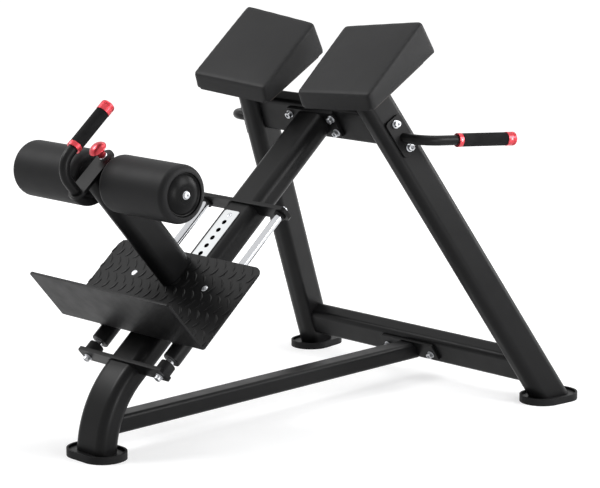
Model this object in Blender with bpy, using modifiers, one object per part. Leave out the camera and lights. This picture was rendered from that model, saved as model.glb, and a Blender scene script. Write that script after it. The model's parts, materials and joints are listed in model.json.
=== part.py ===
"""Hyperextension bench with a sliding ankle-roller carriage.

Metres, +Z up.  The user stands on the carriage and faces +Y, so +X is the
user's right.  The origin is on the floor, under the middle of the bench.
"""
import math

import bmesh
import bpy
from mathutils import Matrix, Vector

# Clearances
GAP = 0.0003
HOLE_CLEARANCE = 0.0005
RUNNING_CLEARANCE = 0.0004
TURN_STEPS = 16

# Main beam: a bent flat-sided oval tube, from the front foot to the head
FRONT_FOOT_Y = -0.5568
BEAM_ANGLE = math.radians(40.26)
BEAM_KNEE_HEIGHT = 0.1102
BEAM_BEND_RADIUS = 0.240
BEAM_WIDTH = 0.101
BEAM_DEPTH = 0.060
TUBE_RADIUS = 0.023
TUBE_WALL = 0.003

# Upper cross tube and the flange that the beam ends on
CROSS_UPPER_Y = 0.7327
CROSS_UPPER_Z = 0.7162
CROSS_UPPER_HEIGHT = 0.100
CROSS_UPPER_DEPTH = 0.050
CROSS_UPPER_RADIUS = 0.0125
HEAD_FLANGE_THICKNESS = 0.010
HEAD_FLANGE_TOP_WIDTH = 0.163
HEAD_FLANGE_BOTTOM_WIDTH = 0.169
HEAD_FLANGE_HEIGHT = 0.074
HEAD_FLANGE_RISE = 0.003
HEAD_FLANGE_CORNER = 0.009
HEAD_BOLT_UPPER_SPACING = 0.144
HEAD_BOLT_LOWER_SPACING = 0.144
HEAD_BOLT_UPPER_RISE = 0.023
HEAD_BOLT_LOWER_RISE = -0.0165

# Rear legs: each leans forward and inward on its way up
REAR_FOOT_X = 0.4145
REAR_FOOT_Y = 1.1205
LEG_LEAN = 0.56
LEG_SPLAY = 0.27
LEG_TWIST = math.radians(17.2)
LEG_WIDTH = 0.090
LEG_DEPTH = 0.056

# Lower cross tube, bottom rail and the flange between them
CROSS_LOWER_Y = 1.0802
CROSS_LOWER_Z = 0.0868
CROSS_LOWER_HEIGHT = 0.082
CROSS_LOWER_DEPTH = 0.050
CROSS_LOWER_RADIUS = 0.0145
RAIL_WIDTH = 0.054
RAIL_HEIGHT = 0.043
RAIL_RADIUS = 0.010
RAIL_Z = 0.0685
RAIL_FLANGE_THICKNESS = 0.008
RAIL_FLANGE_TOP_WIDTH = 0.181
RAIL_FLANGE_BOTTOM_WIDTH = 0.197
RAIL_FLANGE_HEIGHT = 0.048
RAIL_FLANGE_RISE = 0.0028
RAIL_FLANGE_CORNER = 0.005
RAIL_BOLT_RISE = -0.0033
RAIL_BOLT_SPACING = 0.153

# Feet: a steel plate in a rubber tray, the same on all three legs
FOOT_LENGTH = 0.159
FOOT_WIDTH = 0.109
CAP_HEIGHT = 0.0175
CAP_FLOOR = 0.006
CAP_LIP = 0.005
FOOT_STEEL_THICKNESS = 0.006
REAR_FOOT_TOE_OUT = math.radians(7.0)

# Guide rods and their brackets, in distances up the beam from its knee
ROD_SPACING = 0.256
ROD_HEIGHT = 0.013
ROD_DIAMETER = 0.020
BRACKET_LOWER = 0.1205
BRACKET_ABOVE_STRIP = 0.026
BRACKET_THICKNESS = 0.010
BRACKET_WIDTH = 0.304
BRACKET_HEIGHT = 0.040
BRACKET_TOP = 0.037
BRACKET_CHAMFER = 0.006
BUMPER_LENGTH = 0.025
BUMPER_DIAMETER = 0.038
ROD_BORE_DEPTH = 0.020

# Adjuster strip
STRIP_WIDTH = 0.050
STRIP_THICKNESS = 0.003
STRIP_ABOVE_HOLES = 0.037
STRIP_END_MARGIN = 0.014
STRIP_CORNER = 0.006
HOLE_PITCH = 0.025
HOLE_COUNT = 7
HOLE_DIAMETER = 0.0115
PIN_DIAMETER = 0.010

# Carriage: sleeves, bent foot plate and roller arm
SLEEVE_DIAMETER = 0.043
SLEEVE_RELIEF = 0.027
SLEEVE_REST_GAP = 0.0104
SLEEVE_LENGTH = 0.246
SLEEVE_BEARING_LENGTH = 0.030
SLEEVE_MOUTH = 0.0015
FOOT_PLATE_WIDTH = 0.498
FOOT_PLATE_THICKNESS = 0.006
TOE_PLATE_TOP = 0.059
TOE_PLATE_ALONG = 0.021
TOE_PLATE_LENGTH = 0.245
SOLE_PLATE_HEIGHT = 0.152
FOOT_PLATE_BEND = 0.010
TOE_CORNER = 0.022
SOLE_CORNER = 0.008
FOOT_SCREW_SPACING = 0.250
FOOT_SCREW_ALONG = 0.179
SADDLE_LENGTH = 0.180
SADDLE_WIDTH = 0.024
SADDLE_DEPTH = 0.0055
ARM_ALONG = 0.207
ARM_WIDTH = 0.092
ARM_DEPTH = 0.050
ARM_RADIUS = 0.0249
ARM_ABOVE_AXLE = 0.037
HEAD_PLATE_THICKNESS = 0.008
HEAD_PLATE_BELOW_ARM = 0.094
HEAD_PLATE_ABOVE_ARM = 0.054

# Ankle rollers
AXLE_HEIGHT = 0.374
AXLE_DIAMETER = 0.020
ROLLER_DIAMETER = 0.132
ROLLER_INNER = 0.046
ROLLER_OUTER = 0.268
ROLLER_SHOULDER = 0.016
ROLLER_DISH = 0.006
ROLLER_DISH_MARGIN = 0.006
ROLLER_CAP_MARGIN = 0.001
ROLLER_CAP_SINK = 0.0035
ROLLER_CAP_DOME = 0.006
ROLLER_HUB_DIAMETER = 0.036
CORE_DIAMETER = 0.032
END_SCREW_DIAMETER = 0.006
END_SCREW_DEPTH = 0.020
END_SCREW_HEAD = 0.019
END_SCREW_HEAD_HEIGHT = 0.0035

# Handles
HANDLE_DIAMETER = 0.0245
GRIP_DIAMETER = 0.0325
COLLAR_BAND_DIAMETER = 0.034
COLLAR_BAND_LENGTH = 0.012
CAP_LENGTH = 0.025
CAP_END = 0.004
CAP_GROOVE = 0.0010
CAP_GROOVE_PLACE = 0.0175
HIP_GRIP_LENGTH = 0.128
HIP_HANDLE_REACH = 0.076
HIP_HANDLE_RUN = 0.046
HIP_HANDLE_SPLAY = math.radians(15.0)
HIP_HANDLE_DROP = math.radians(3.0)
HIP_HANDLE_BEND = 0.056
HIP_HANDLE_OFFSET = 0.0045
HIP_PLATE_ALONG = 0.7955
HIP_PLATE_LENGTH = 0.100
HIP_PLATE_WIDTH = 0.050
HIP_PLATE_THICKNESS = 0.008
HIP_PLATE_CORNER = 0.010
HIP_BOLT_SPACING = 0.068
ARM_GRIP_LENGTH = 0.100
ARM_HANDLE_BELOW_ARM = 0.076
ARM_HANDLE_BEND = 0.048
ARM_HANDLE_RUN = 0.011

# Pull pin
KNOB_DIAMETER = 0.044
KNOB_STEM_DIAMETER = 0.019
KNOB_LENGTH = 0.0221
KNOB_DOME = 0.011
KNOB_FINGER_ROOM = 0.01175
PIN_ABOVE_ARM = 0.031
PIN_DEPTH = 0.009
PIN_SHOULDER_DIAMETER = 0.015
PIN_SHOULDER_THICKNESS = 0.004
PIN_TRAVEL_OUT = 0.012
BUSH_FLANGE_DIAMETER = 0.021
BUSH_FLANGE_THICKNESS = 0.004
BUSH_BODY_DIAMETER = 0.016
BUSH_BODY_LENGTH = 0.026
SPRING_LENGTH = 0.050
SPRING_RADIUS = 0.0068
SPRING_WIRE = 0.0016
SPRING_TURNS = 7

# Hip pads
PAD_INNER_X = 0.058
PAD_WIDTH = 0.244
PAD_INNER_LENGTH = 0.226
PAD_OUTER_LENGTH = 0.246
PAD_FRONT_THICKNESS = 0.042
PAD_BACK_THICKNESS = 0.089
PAD_FRONT_RAKE = 0.008
PAD_EDGE_RADIUS = 0.009
PAD_CROWN = 0.005
PAD_DRAW_IN = 0.0015
PAD_BASE_ANGLE = math.radians(29.7)
PAD_CRADLE_ANGLE = math.radians(4.5)
PAD_PLACE = 0.876
PAD_HEIGHT = 0.1115
PAD_BOARD_THICKNESS = 0.010
PAD_BOARD_INSET = 0.012
PAD_BRACKET_THICKNESS = 0.006
PAD_BRACKET_WIDTH = 0.130
PAD_BRACKET_LENGTH = 0.150

# Screws and bolt holes
BOLT_DIAMETER = 0.010
FLAT_SCREW_DIAMETER = 0.008
FLAT_SCREW_HEAD = 0.016
FLAT_SCREW_HEAD_HEIGHT = 0.004
STRIP_SCREW_DIAMETER = 0.006
STRIP_SCREW_HEAD = 0.011
STRIP_SCREW_HEAD_HEIGHT = 0.0026

SIDES = ((-1, "left"), (1, "right"))

COLORS = {
    "frame_black": ((0.022, 0.022, 0.024), 0.42, 0.0),
    "pad_vinyl": ((0.040, 0.040, 0.042), 0.55, 0.0),
    "roller_foam": ((0.028, 0.028, 0.030), 0.50, 0.0),
    "grip_foam": ((0.015, 0.015, 0.016), 0.85, 0.0),
    "red_anodised": ((0.78, 0.05, 0.07), 0.28, 0.9),
    "chrome": ((0.80, 0.81, 0.83), 0.10, 1.0),
    "zinc": ((0.66, 0.67, 0.69), 0.28, 1.0),
    "rubber_black": ((0.016, 0.016, 0.017), 0.60, 0.0),
    "plastic_black": ((0.020, 0.020, 0.022), 0.45, 0.0),
    "plywood": ((0.05, 0.042, 0.035), 0.70, 0.0),
    "spring_steel": ((0.45, 0.45, 0.47), 0.35, 1.0),
}


def clear_scene():
    """Remove every object that the file opened with."""
    for item in list(bpy.data.objects):
        bpy.data.objects.remove(item, do_unlink=True)


def make_collection(name):
    """Make a collection of the scene."""
    collection = bpy.data.collections.new(name)
    bpy.context.scene.collection.children.link(collection)
    return collection


def make_materials():
    """Make one Principled material for each finish in COLORS."""
    made = {}
    for name, (color, roughness, metallic) in COLORS.items():
        material = bpy.data.materials.new(name)
        material.use_nodes = True
        shader = material.node_tree.nodes["Principled BSDF"]
        shader.inputs["Base Color"].default_value = (*color, 1.0)
        shader.inputs["Roughness"].default_value = roughness
        shader.inputs["Metallic"].default_value = metallic
        made[name] = material
    return made


clear_scene()
PARTS = make_collection("hyperextension_bench")
MATERIALS = make_materials()


# Shapes

def mesh_from(item):
    """Turn an object, with its modifiers, into a mesh and remove the object."""
    bpy.context.view_layer.update()
    graph = bpy.context.evaluated_depsgraph_get()
    mesh = bpy.data.meshes.new_from_object(item.evaluated_get(graph))
    bpy.data.objects.remove(item, do_unlink=True)
    work = bmesh.new()
    work.from_mesh(mesh)
    bmesh.ops.remove_doubles(work, verts=work.verts, dist=0.000002)
    bmesh.ops.dissolve_degenerate(work, edges=work.edges, dist=0.000002)
    work.to_mesh(mesh)
    work.free()
    return mesh


def temporary(name, data):
    """Link an object that is removed again once its shape is read."""
    item = bpy.data.objects.new(name, data)
    bpy.context.scene.collection.objects.link(item)
    return item


def circle(radius, center=(0.0, 0.0), steps=TURN_STEPS):
    """Give the points of a circle."""
    turn = 2.0 * math.pi / steps
    return [(center[0] + radius * math.cos(turn * k),
             center[1] + radius * math.sin(turn * k)) for k in range(steps)]


def rounded_polygon(corners, radius, steps=4):
    """Give the points of a polygon, corners counter-clockwise, with rounded corners."""
    points = []
    count = len(corners)
    for index, corner in enumerate(corners):
        here = Vector(corner)
        back = (Vector(corners[index - 1]) - here).normalized()
        ahead = (Vector(corners[(index + 1) % count]) - here).normalized()
        half = back.angle(ahead) / 2.0
        middle = here + (back + ahead).normalized() * (radius / math.sin(half))
        start = here + back * (radius / math.tan(half)) - middle
        sweep = math.pi - 2.0 * half
        for k in range(steps + 1):
            turned = Matrix.Rotation(sweep * k / steps, 2) @ start
            points.append((middle.x + turned.x, middle.y + turned.y))
    return points


def rectangle(width, height, center=(0.0, 0.0)):
    """Give the corners of a rectangle, counter-clockwise."""
    x, y = width / 2.0, height / 2.0
    return [(center[0] + sx * x, center[1] + sy * y)
            for sx, sy in ((-1, -1), (1, -1), (1, 1), (-1, 1))]


def rounded_rectangle(width, height, radius, steps=4):
    """Give the points of a rounded rectangle about the origin."""
    radius = min(radius, width / 2.0 - 0.00005, height / 2.0 - 0.00005)
    return rounded_polygon(rectangle(width, height), radius, steps)


def trapezoid(bottom, top, height):
    """Give the corners of an upright trapezoid about the origin."""
    return [(-bottom / 2.0, -height / 2.0), (bottom / 2.0, -height / 2.0),
            (top / 2.0, height / 2.0), (-top / 2.0, height / 2.0)]


def extrusion(outlines, low, high):
    """Extrude a flat outline, with holes as further outlines, along Z."""
    curve = bpy.data.curves.new("outline", "CURVE")
    curve.dimensions = "2D"
    curve.fill_mode = "BOTH"
    curve.extrude = (high - low) / 2.0
    for outline in outlines:
        spline = curve.splines.new("POLY")
        spline.points.add(len(outline) - 1)
        for point, (x, y) in zip(spline.points, outline):
            point.co = (x, y, 0.0, 1.0)
        spline.use_cyclic_u = True
    mesh = mesh_from(temporary("extrusion", curve))
    mesh.transform(Matrix.Translation((0.0, 0.0, (low + high) / 2.0)))
    return mesh


def ring_profile(outer, inner, low, high, edge=0.0):
    """Give the closed profile of a ring, with its outer edges chamfered."""
    return [(inner, high), (outer - edge, high), (outer, high - edge),
            (outer, low + edge), (outer - edge, low), (inner, low)] if edge else [
        (inner, high), (outer, high), (outer, low), (inner, low)]


def turned(profile, closed=False, steps=TURN_STEPS):
    """Turn a profile of radius and height about Z; it runs down the outer side."""
    mesh = bpy.data.meshes.new("profile")
    work = bmesh.new()
    points = [work.verts.new((radius, 0.0, height)) for radius, height in profile]
    pairs = list(zip(points, points[1:]))
    if closed:
        pairs.append((points[-1], points[0]))
    for pair in pairs:
        work.edges.new(pair)
    work.to_mesh(mesh)
    work.free()
    item = temporary("turned", mesh)
    screw = item.modifiers.new("turn", "SCREW")
    screw.steps = steps
    screw.render_steps = steps
    screw.use_merge_vertices = True
    screw.merge_threshold = 0.00001
    return mesh_from(item)


def swept(points, radius, resolution=2):
    """Sweep a round bar along points, with its ends closed."""
    curve = bpy.data.curves.new("bar", "CURVE")
    curve.dimensions = "3D"
    curve.bevel_depth = radius
    curve.bevel_resolution = resolution
    curve.use_fill_caps = True
    spline = curve.splines.new("POLY")
    spline.points.add(len(points) - 1)
    for point, place in zip(spline.points, points):
        point.co = (*place, 1.0)
    return mesh_from(temporary("bar", curve))


def swept_section(points, outline):
    """Sweep a flat outline along points in the YZ plane, with its ends closed."""
    section = bpy.data.curves.new("section", "CURVE")
    section.dimensions = "2D"
    spline = section.splines.new("POLY")
    spline.points.add(len(outline) - 1)
    for point, (x, y) in zip(spline.points, outline):
        point.co = (x, y, 0.0, 1.0)
    spline.use_cyclic_u = True
    guide = temporary("section", section)
    curve = bpy.data.curves.new("path", "CURVE")
    curve.dimensions = "3D"
    curve.bevel_mode = "OBJECT"
    curve.bevel_object = guide
    curve.use_fill_caps = True
    path = curve.splines.new("POLY")
    path.points.add(len(points) - 1)
    for point, place in zip(path.points, points):
        point.co = (*place, 1.0)
    mesh = mesh_from(temporary("path", curve))
    bpy.data.objects.remove(guide, do_unlink=True)
    work = bmesh.new()
    work.from_mesh(mesh)
    bmesh.ops.recalc_face_normals(work, faces=work.faces)
    work.to_mesh(mesh)
    work.free()
    return mesh


def box(size, matrix):
    """Make a box mesh of a size, placed by a matrix."""
    mesh = bpy.data.meshes.new("box")
    work = bmesh.new()
    bmesh.ops.create_cube(work, size=1.0)
    bmesh.ops.scale(work, verts=work.verts, vec=size)
    work.to_mesh(mesh)
    work.free()
    mesh.transform(matrix)
    return mesh


def cylinder(radius, low, high, matrix=None, steps=12):
    """Make a plain cylinder mesh along Z, placed by a matrix."""
    mesh = turned([(0.0, high), (radius, high), (radius, low), (0.0, low)], steps=steps)
    if matrix is not None:
        mesh.transform(matrix)
    return mesh


def cut(mesh, cutters):
    """Cut the cutter meshes out of a mesh."""
    item = temporary("cut", mesh)
    tools = []
    for cutter in cutters:
        tool = temporary("cutter", cutter)
        tools.append(tool)
        modifier = item.modifiers.new("cut", "BOOLEAN")
        modifier.operation = "DIFFERENCE"
        modifier.object = tool
    result = mesh_from(item)
    for tool in tools:
        bpy.data.objects.remove(tool, do_unlink=True)
    return result


def joined(mesh, others):
    """Join other meshes to a mesh as one body."""
    item = temporary("joined", mesh)
    tools = []
    for other in others:
        tool = temporary("other", other)
        tools.append(tool)
        modifier = item.modifiers.new("join", "BOOLEAN")
        modifier.operation = "UNION"
        modifier.object = tool
    result = mesh_from(item)
    for tool in tools:
        bpy.data.objects.remove(tool, do_unlink=True)
    return result


def moved(mesh, matrix):
    """Give a placed copy of a mesh."""
    copy = mesh.copy()
    copy.transform(matrix)
    if matrix.determinant() < 0.0:
        copy.flip_normals()
    return copy


def group(meshes):
    """Put several meshes into one, as separate bodies."""
    work = bmesh.new()
    for mesh in meshes:
        work.from_mesh(mesh)
    result = bpy.data.meshes.new("group")
    work.to_mesh(result)
    work.free()
    return result


def add(name, mesh, finish, parent=None, matrix=None):
    """Add a named piece to the model, under an empty and at a local place."""
    mesh.name = name
    mesh.materials.clear()
    mesh.materials.append(MATERIALS[finish])
    mesh.shade_smooth()
    mesh.set_sharp_from_angle(angle=math.radians(32.0))
    item = bpy.data.objects.new(name, mesh)
    PARTS.objects.link(item)
    item.parent = parent
    if matrix is not None:
        item.location = matrix.to_translation()
        item.rotation_euler = matrix.to_euler()
    return item


def add_frame(name, matrix, parent=None):
    """Add an empty whose axes a sub-assembly is built in."""
    item = bpy.data.objects.new(name, None)
    item.empty_display_size = 0.05
    PARTS.objects.link(item)
    item.parent = parent
    item.location = matrix.to_translation()
    item.rotation_euler = matrix.to_euler()
    return item


def at(x, y, z):
    """Give a shift."""
    return Matrix.Translation((x, y, z))


def facing(direction, origin=(0.0, 0.0, 0.0), across=(1.0, 0.0, 0.0)):
    """Give the matrix that turns Z to a direction and keeps X near another."""
    z_axis = Vector(direction).normalized()
    y_axis = z_axis.cross(Vector(across)).normalized()
    x_axis = y_axis.cross(z_axis)
    turn = Matrix((x_axis, y_axis, z_axis)).transposed().to_4x4()
    return Matrix.Translation(origin) @ turn


# Reference frames

FOOT_TOP = CAP_FLOOR + GAP + FOOT_STEEL_THICKNESS
KNEE = Vector((0.0, FRONT_FOOT_Y, BEAM_KNEE_HEIGHT))
BEAM = Matrix.Translation(KNEE) @ Matrix.Rotation(BEAM_ANGLE, 4, "X")
SLOPE = Vector((0.0, math.cos(BEAM_ANGLE), math.sin(BEAM_ANGLE)))
beam_frame = add_frame("beam_frame", BEAM)

# The rear legs' plane, in which the cross tubes and their flanges lie too
FRAME_LEAN = math.atan(LEG_LEAN)

# Places up the beam, each from the one below it
SLEEVE_LOWER = (BRACKET_LOWER + BRACKET_THICKNESS + 2.0 * GAP + BUMPER_LENGTH
                + SLEEVE_REST_GAP)
TOE_PLATE_LOWER = SLEEVE_LOWER + TOE_PLATE_ALONG
FOOT_SCREW_PLACE = SLEEVE_LOWER + FOOT_SCREW_ALONG
ARM_PLACE = SLEEVE_LOWER + ARM_ALONG
HEAD_PLATE_LOWER = ARM_PLACE - HEAD_PLATE_BELOW_ARM
HEAD_PLATE_UPPER = ARM_PLACE + HEAD_PLATE_ABOVE_ARM
ARM_HANDLE_PLACE = ARM_PLACE - ARM_HANDLE_BELOW_ARM
PIN_PLACE = ARM_PLACE + PIN_ABOVE_ARM
HOLE_TOP = PIN_PLACE + (HOLE_COUNT - 1) * HOLE_PITCH
STRIP_TOP = HOLE_TOP + STRIP_ABOVE_HOLES
BRACKET_UPPER = STRIP_TOP + BRACKET_ABOVE_STRIP

# Heights above the beam's middle plane
BEAM_TOP = BEAM_DEPTH / 2.0
STRIP_FACE = BEAM_TOP + GAP + STRIP_THICKNESS
ARM_TOP = AXLE_HEIGHT + ARM_ABOVE_AXLE
HEAD_PLATE_FACE = ARM_TOP + GAP + HEAD_PLATE_THICKNESS
KNOB_RIM_HEIGHT = HEAD_PLATE_FACE + 2.0 * GAP + BUSH_FLANGE_THICKNESS + KNOB_LENGTH
ARM_GRIP_HEIGHT = (KNOB_RIM_HEIGHT + KNOB_DOME + PIN_TRAVEL_OUT + KNOB_FINGER_ROOM
                   + GRIP_DIAMETER / 2.0)

# The roller's end cap
ROLLER_CAP_RADIUS = ROLLER_DIAMETER / 2.0 - ROLLER_SHOULDER - ROLLER_CAP_MARGIN
CORE_END = ROLLER_OUTER - ROLLER_CAP_SINK + ROLLER_CAP_DOME


def leg_axes(side):
    """Give a rear leg's foot point, its direction and its outward normal."""
    foot = Vector((side * REAR_FOOT_X, FRONT_FOOT_Y + REAR_FOOT_Y, FOOT_TOP))
    along = Vector((-side * LEG_SPLAY, -LEG_LEAN, 1.0)).normalized()
    normal = along.cross(Vector((0.0, 0.0, 1.0))).normalized()
    if normal.x * side < 0.0:
        normal = -normal
    normal = Matrix.Rotation(side * LEG_TWIST, 3, along) @ normal
    return foot, along, normal


def leg_matrix(side):
    """Give a leg's frame: Z up the leg and X out through its wide face."""
    foot, along, normal = leg_axes(side)
    return facing(along, foot, normal)


def pad_matrix(side):
    """Give a hip pad's frame: its origin is in the middle of the base's front edge."""
    middle = side * (PAD_INNER_X + PAD_WIDTH / 2.0)
    place = BEAM @ Vector((middle, PAD_PLACE, PAD_HEIGHT))
    base = Matrix.Rotation(PAD_BASE_ANGLE, 4, "X")
    return Matrix.Translation(place) @ base @ Matrix.Rotation(-side * PAD_CRADLE_ANGLE, 4, "Y")


# Screws

def flat_screw(shank, head, head_height, reach, steps=12):
    """Make a countersunk screw; its top is flush at Z = 0."""
    return turned([(0.0, 0.0), (head / 2.0, 0.0), (head / 2.0, -0.0006),
                   (shank / 2.0, -head_height), (shank / 2.0, -reach), (0.0, -reach)],
                  steps=steps)


def flat_screw_seat(shank, head, head_height, reach, steps=12):
    """Make the cutter for a countersunk screw's hole."""
    spare = HOLE_CLEARANCE / 2.0
    return turned([(0.0, 0.002), (head / 2.0 + spare, 0.002), (head / 2.0 + spare, -0.0006),
                   (shank / 2.0 + spare, -head_height - spare),
                   (shank / 2.0 + spare, -reach - 0.002), (0.0, -reach - 0.002)],
                  steps=steps)


# Main frame

def beam_path():
    """Give the beam's centre line: up from below the foot, round the knee and past the head."""
    turn = math.pi / 2.0 - BEAM_ANGLE
    radius = BEAM_BEND_RADIUS
    reach = radius * math.tan(turn / 2.0)
    middle = Vector((0.0, FRONT_FOOT_Y + radius, BEAM_KNEE_HEIGHT - reach))
    points = [middle + Vector((0.0, -radius, -0.05))]
    steps = 8
    for k in range(steps + 1):
        angle = math.pi - turn * k / steps
        points.append(middle + Vector((0.0, radius * math.cos(angle), radius * math.sin(angle))))
    points.append(KNEE + SLOPE * (CROSS_UPPER_Y / math.cos(BEAM_ANGLE)))
    return points


def beam_outline(grow):
    """Give the beam's section, grown by a distance."""
    return rounded_rectangle(BEAM_WIDTH + 2.0 * grow, BEAM_DEPTH + 2.0 * grow,
                             TUBE_RADIUS + grow)


def hole_places():
    """Give the adjuster holes' distances up the beam, from the top one down."""
    return [HOLE_TOP - HOLE_PITCH * k for k in range(HOLE_COUNT)]


def strip_ends():
    """Give the adjuster strip's lower and upper ends."""
    return PIN_PLACE - (STRIP_TOP - HOLE_TOP), STRIP_TOP


def strip_screw_place():
    """Give the place of the screw at the strip's upper end."""
    return strip_ends()[1] - STRIP_END_MARGIN


def make_main_beam():
    """Make the hollow beam, cut square to the head flange and drilled for the pin."""
    outer = beam_outline(0.0)
    inner = beam_outline(-TUBE_WALL)
    inner.reverse()
    shell = swept_section(beam_path(), outer)
    bore = swept_section(beam_path(), inner)
    beyond = 0.2
    end = box((0.3, 0.5, beyond), head_front() @ at(0.0, 0.0, flange_face(
        HEAD_FLANGE_THICKNESS) - beyond / 2.0))
    floor = box((0.3, 0.3, beyond), at(0.0, FRONT_FOOT_Y, FOOT_TOP + GAP - beyond / 2.0))
    drills = []
    wall = at(0.0, 0.0, BEAM_TOP - TUBE_WALL)
    for place in hole_places():
        matrix = BEAM @ wall @ at(0.0, place, 0.0)
        drills.append(cylinder(HOLE_DIAMETER / 2.0, -0.004, 0.008, matrix))
    screw = BEAM @ wall @ at(0.0, strip_screw_place(), 0.0)
    drills.append(cylinder(STRIP_SCREW_DIAMETER / 2.0 + HOLE_CLEARANCE, -0.004, 0.008, screw))
    hollow = cut(cut(shell, [end, floor]), [bore])
    add("main_beam", cut(hollow, [group(drills)]), "frame_black")


def flange(corners, thickness, corner, holes, matrix):
    """Make a flat flange with bolt holes; its thickness is along Z from 0."""
    outlines = [rounded_polygon(corners, corner, 3)]
    outlines += [circle(BOLT_DIAMETER / 2.0 + HOLE_CLEARANCE, hole, 12) for hole in holes]
    return moved(extrusion(outlines, 0.0, thickness), matrix)


def flange_face(thickness):
    """Give the height of a flange's outer face, with the gap before the next piece."""
    return thickness + GAP


def head_bolt_places():
    """Give the head flange's bolt places, across and up from the cross tube's middle."""
    rows = ((HEAD_BOLT_UPPER_SPACING, HEAD_BOLT_UPPER_RISE),
            (HEAD_BOLT_LOWER_SPACING, HEAD_BOLT_LOWER_RISE))
    return [(sx * spacing / 2.0, rise) for spacing, rise in rows for sx in (-1, 1)]


def make_head():
    """Make the upper cross tube and the head flange."""
    front = head_front()
    outline = [(x, y + HEAD_FLANGE_RISE) for x, y in
               trapezoid(HEAD_FLANGE_BOTTOM_WIDTH, HEAD_FLANGE_TOP_WIDTH, HEAD_FLANGE_HEIGHT)]
    holes = head_bolt_places()
    add("beam_head_flange", flange(outline, HEAD_FLANGE_THICKNESS, HEAD_FLANGE_CORNER, holes,
                                    front),
        "frame_black")
    half = REAR_FOOT_X
    tube = tube_mesh(CROSS_UPPER_DEPTH, CROSS_UPPER_HEIGHT, CROSS_UPPER_RADIUS, -half, half)
    tube = moved(tube, cross_matrix(CROSS_UPPER_Y, CROSS_UPPER_Z))
    drills = [cylinder(BOLT_DIAMETER / 2.0 + HOLE_CLEARANCE, -TUBE_WALL * 2.5, 0.004,
                       front @ at(x, y, 0.0)) for x, y in holes]
    add("upper_cross_tube", cut(cut(tube, leg_cutters()), [group(drills)]), "frame_black")


def tube_mesh(width, height, radius, low, high):
    """Make a straight hollow tube along Z."""
    outer = rounded_rectangle(width, height, radius)
    inner = rounded_rectangle(width - 2.0 * TUBE_WALL, height - 2.0 * TUBE_WALL,
                              radius - TUBE_WALL)
    return extrusion([outer, inner], low, high)


def leaning(y, z):
    """Give a frame that leans forward as the rear legs do, about a cross tube's middle."""
    return at(0.0, FRONT_FOOT_Y + y, z) @ Matrix.Rotation(FRAME_LEAN, 4, "X")


def cross_matrix(y, z):
    """Give the frame of a tube that runs along X, with its height up the legs' plane."""
    turn = Matrix(((0.0, 0.0, 1.0), (1.0, 0.0, 0.0), (0.0, 1.0, 0.0))).to_4x4()
    return leaning(y, z) @ turn


def head_front():
    """Give the frame on the upper cross tube's front face, with Z out of it."""
    forward = facing((0.0, -1.0, 0.0), (0.0, -CROSS_UPPER_DEPTH / 2.0 - GAP, 0.0))
    return leaning(CROSS_UPPER_Y, CROSS_UPPER_Z) @ forward


def rail_front():
    """Give the frame on the lower cross tube's front face, with Z out of it."""
    forward = facing((0.0, -1.0, 0.0), (0.0, -CROSS_LOWER_DEPTH / 2.0 - GAP, 0.0))
    return leaning(CROSS_LOWER_Y, CROSS_LOWER_Z) @ forward


def leg_cutters():
    """Make the solid shapes of both legs, grown by the gap, to cope tubes against them."""
    cutters = []
    for side in (-1, 1):
        outline = rounded_rectangle(LEG_DEPTH + 2.0 * GAP, LEG_WIDTH + 2.0 * GAP,
                                    TUBE_RADIUS + GAP)
        solid = extrusion([outline], -0.1, 1.0)
        cutters.append(moved(solid, leg_matrix(side)))
        beyond = box((0.6, 2.0, 2.0), at(0.3, 0.0, 0.0))
        cutters.append(moved(beyond, leg_matrix(side)))
    return cutters


def make_rear_leg(name, side):
    """Make a rear leg, cut level on its foot plate and square to its pad bracket."""
    frame = leg_matrix(side)
    length = 1.1
    tube = moved(tube_mesh(LEG_DEPTH, LEG_WIDTH, TUBE_RADIUS, -0.1, length), frame)
    floor = box((2.0, 4.0, 0.4), at(0.0, 0.0, FOOT_TOP + GAP - 0.2))
    pad_low = PAD_BOARD_THICKNESS + PAD_BRACKET_THICKNESS + 3.0 * GAP
    above = moved(box((1.2, 1.6, 0.6), at(0.0, 0.0, 0.3 - pad_low)), pad_matrix(side))
    drills = [cylinder(BOLT_DIAMETER / 2.0 + HOLE_CLEARANCE, -TUBE_WALL * 2.0, 0.006,
                       hip_plate_matrix(side) @ at(0.0, place, 0.0))
              for place in hip_bolt_places()]
    shell = cut(tube, [floor, above])
    add(name, cut(shell, [group(drills)]), "frame_black")


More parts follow.
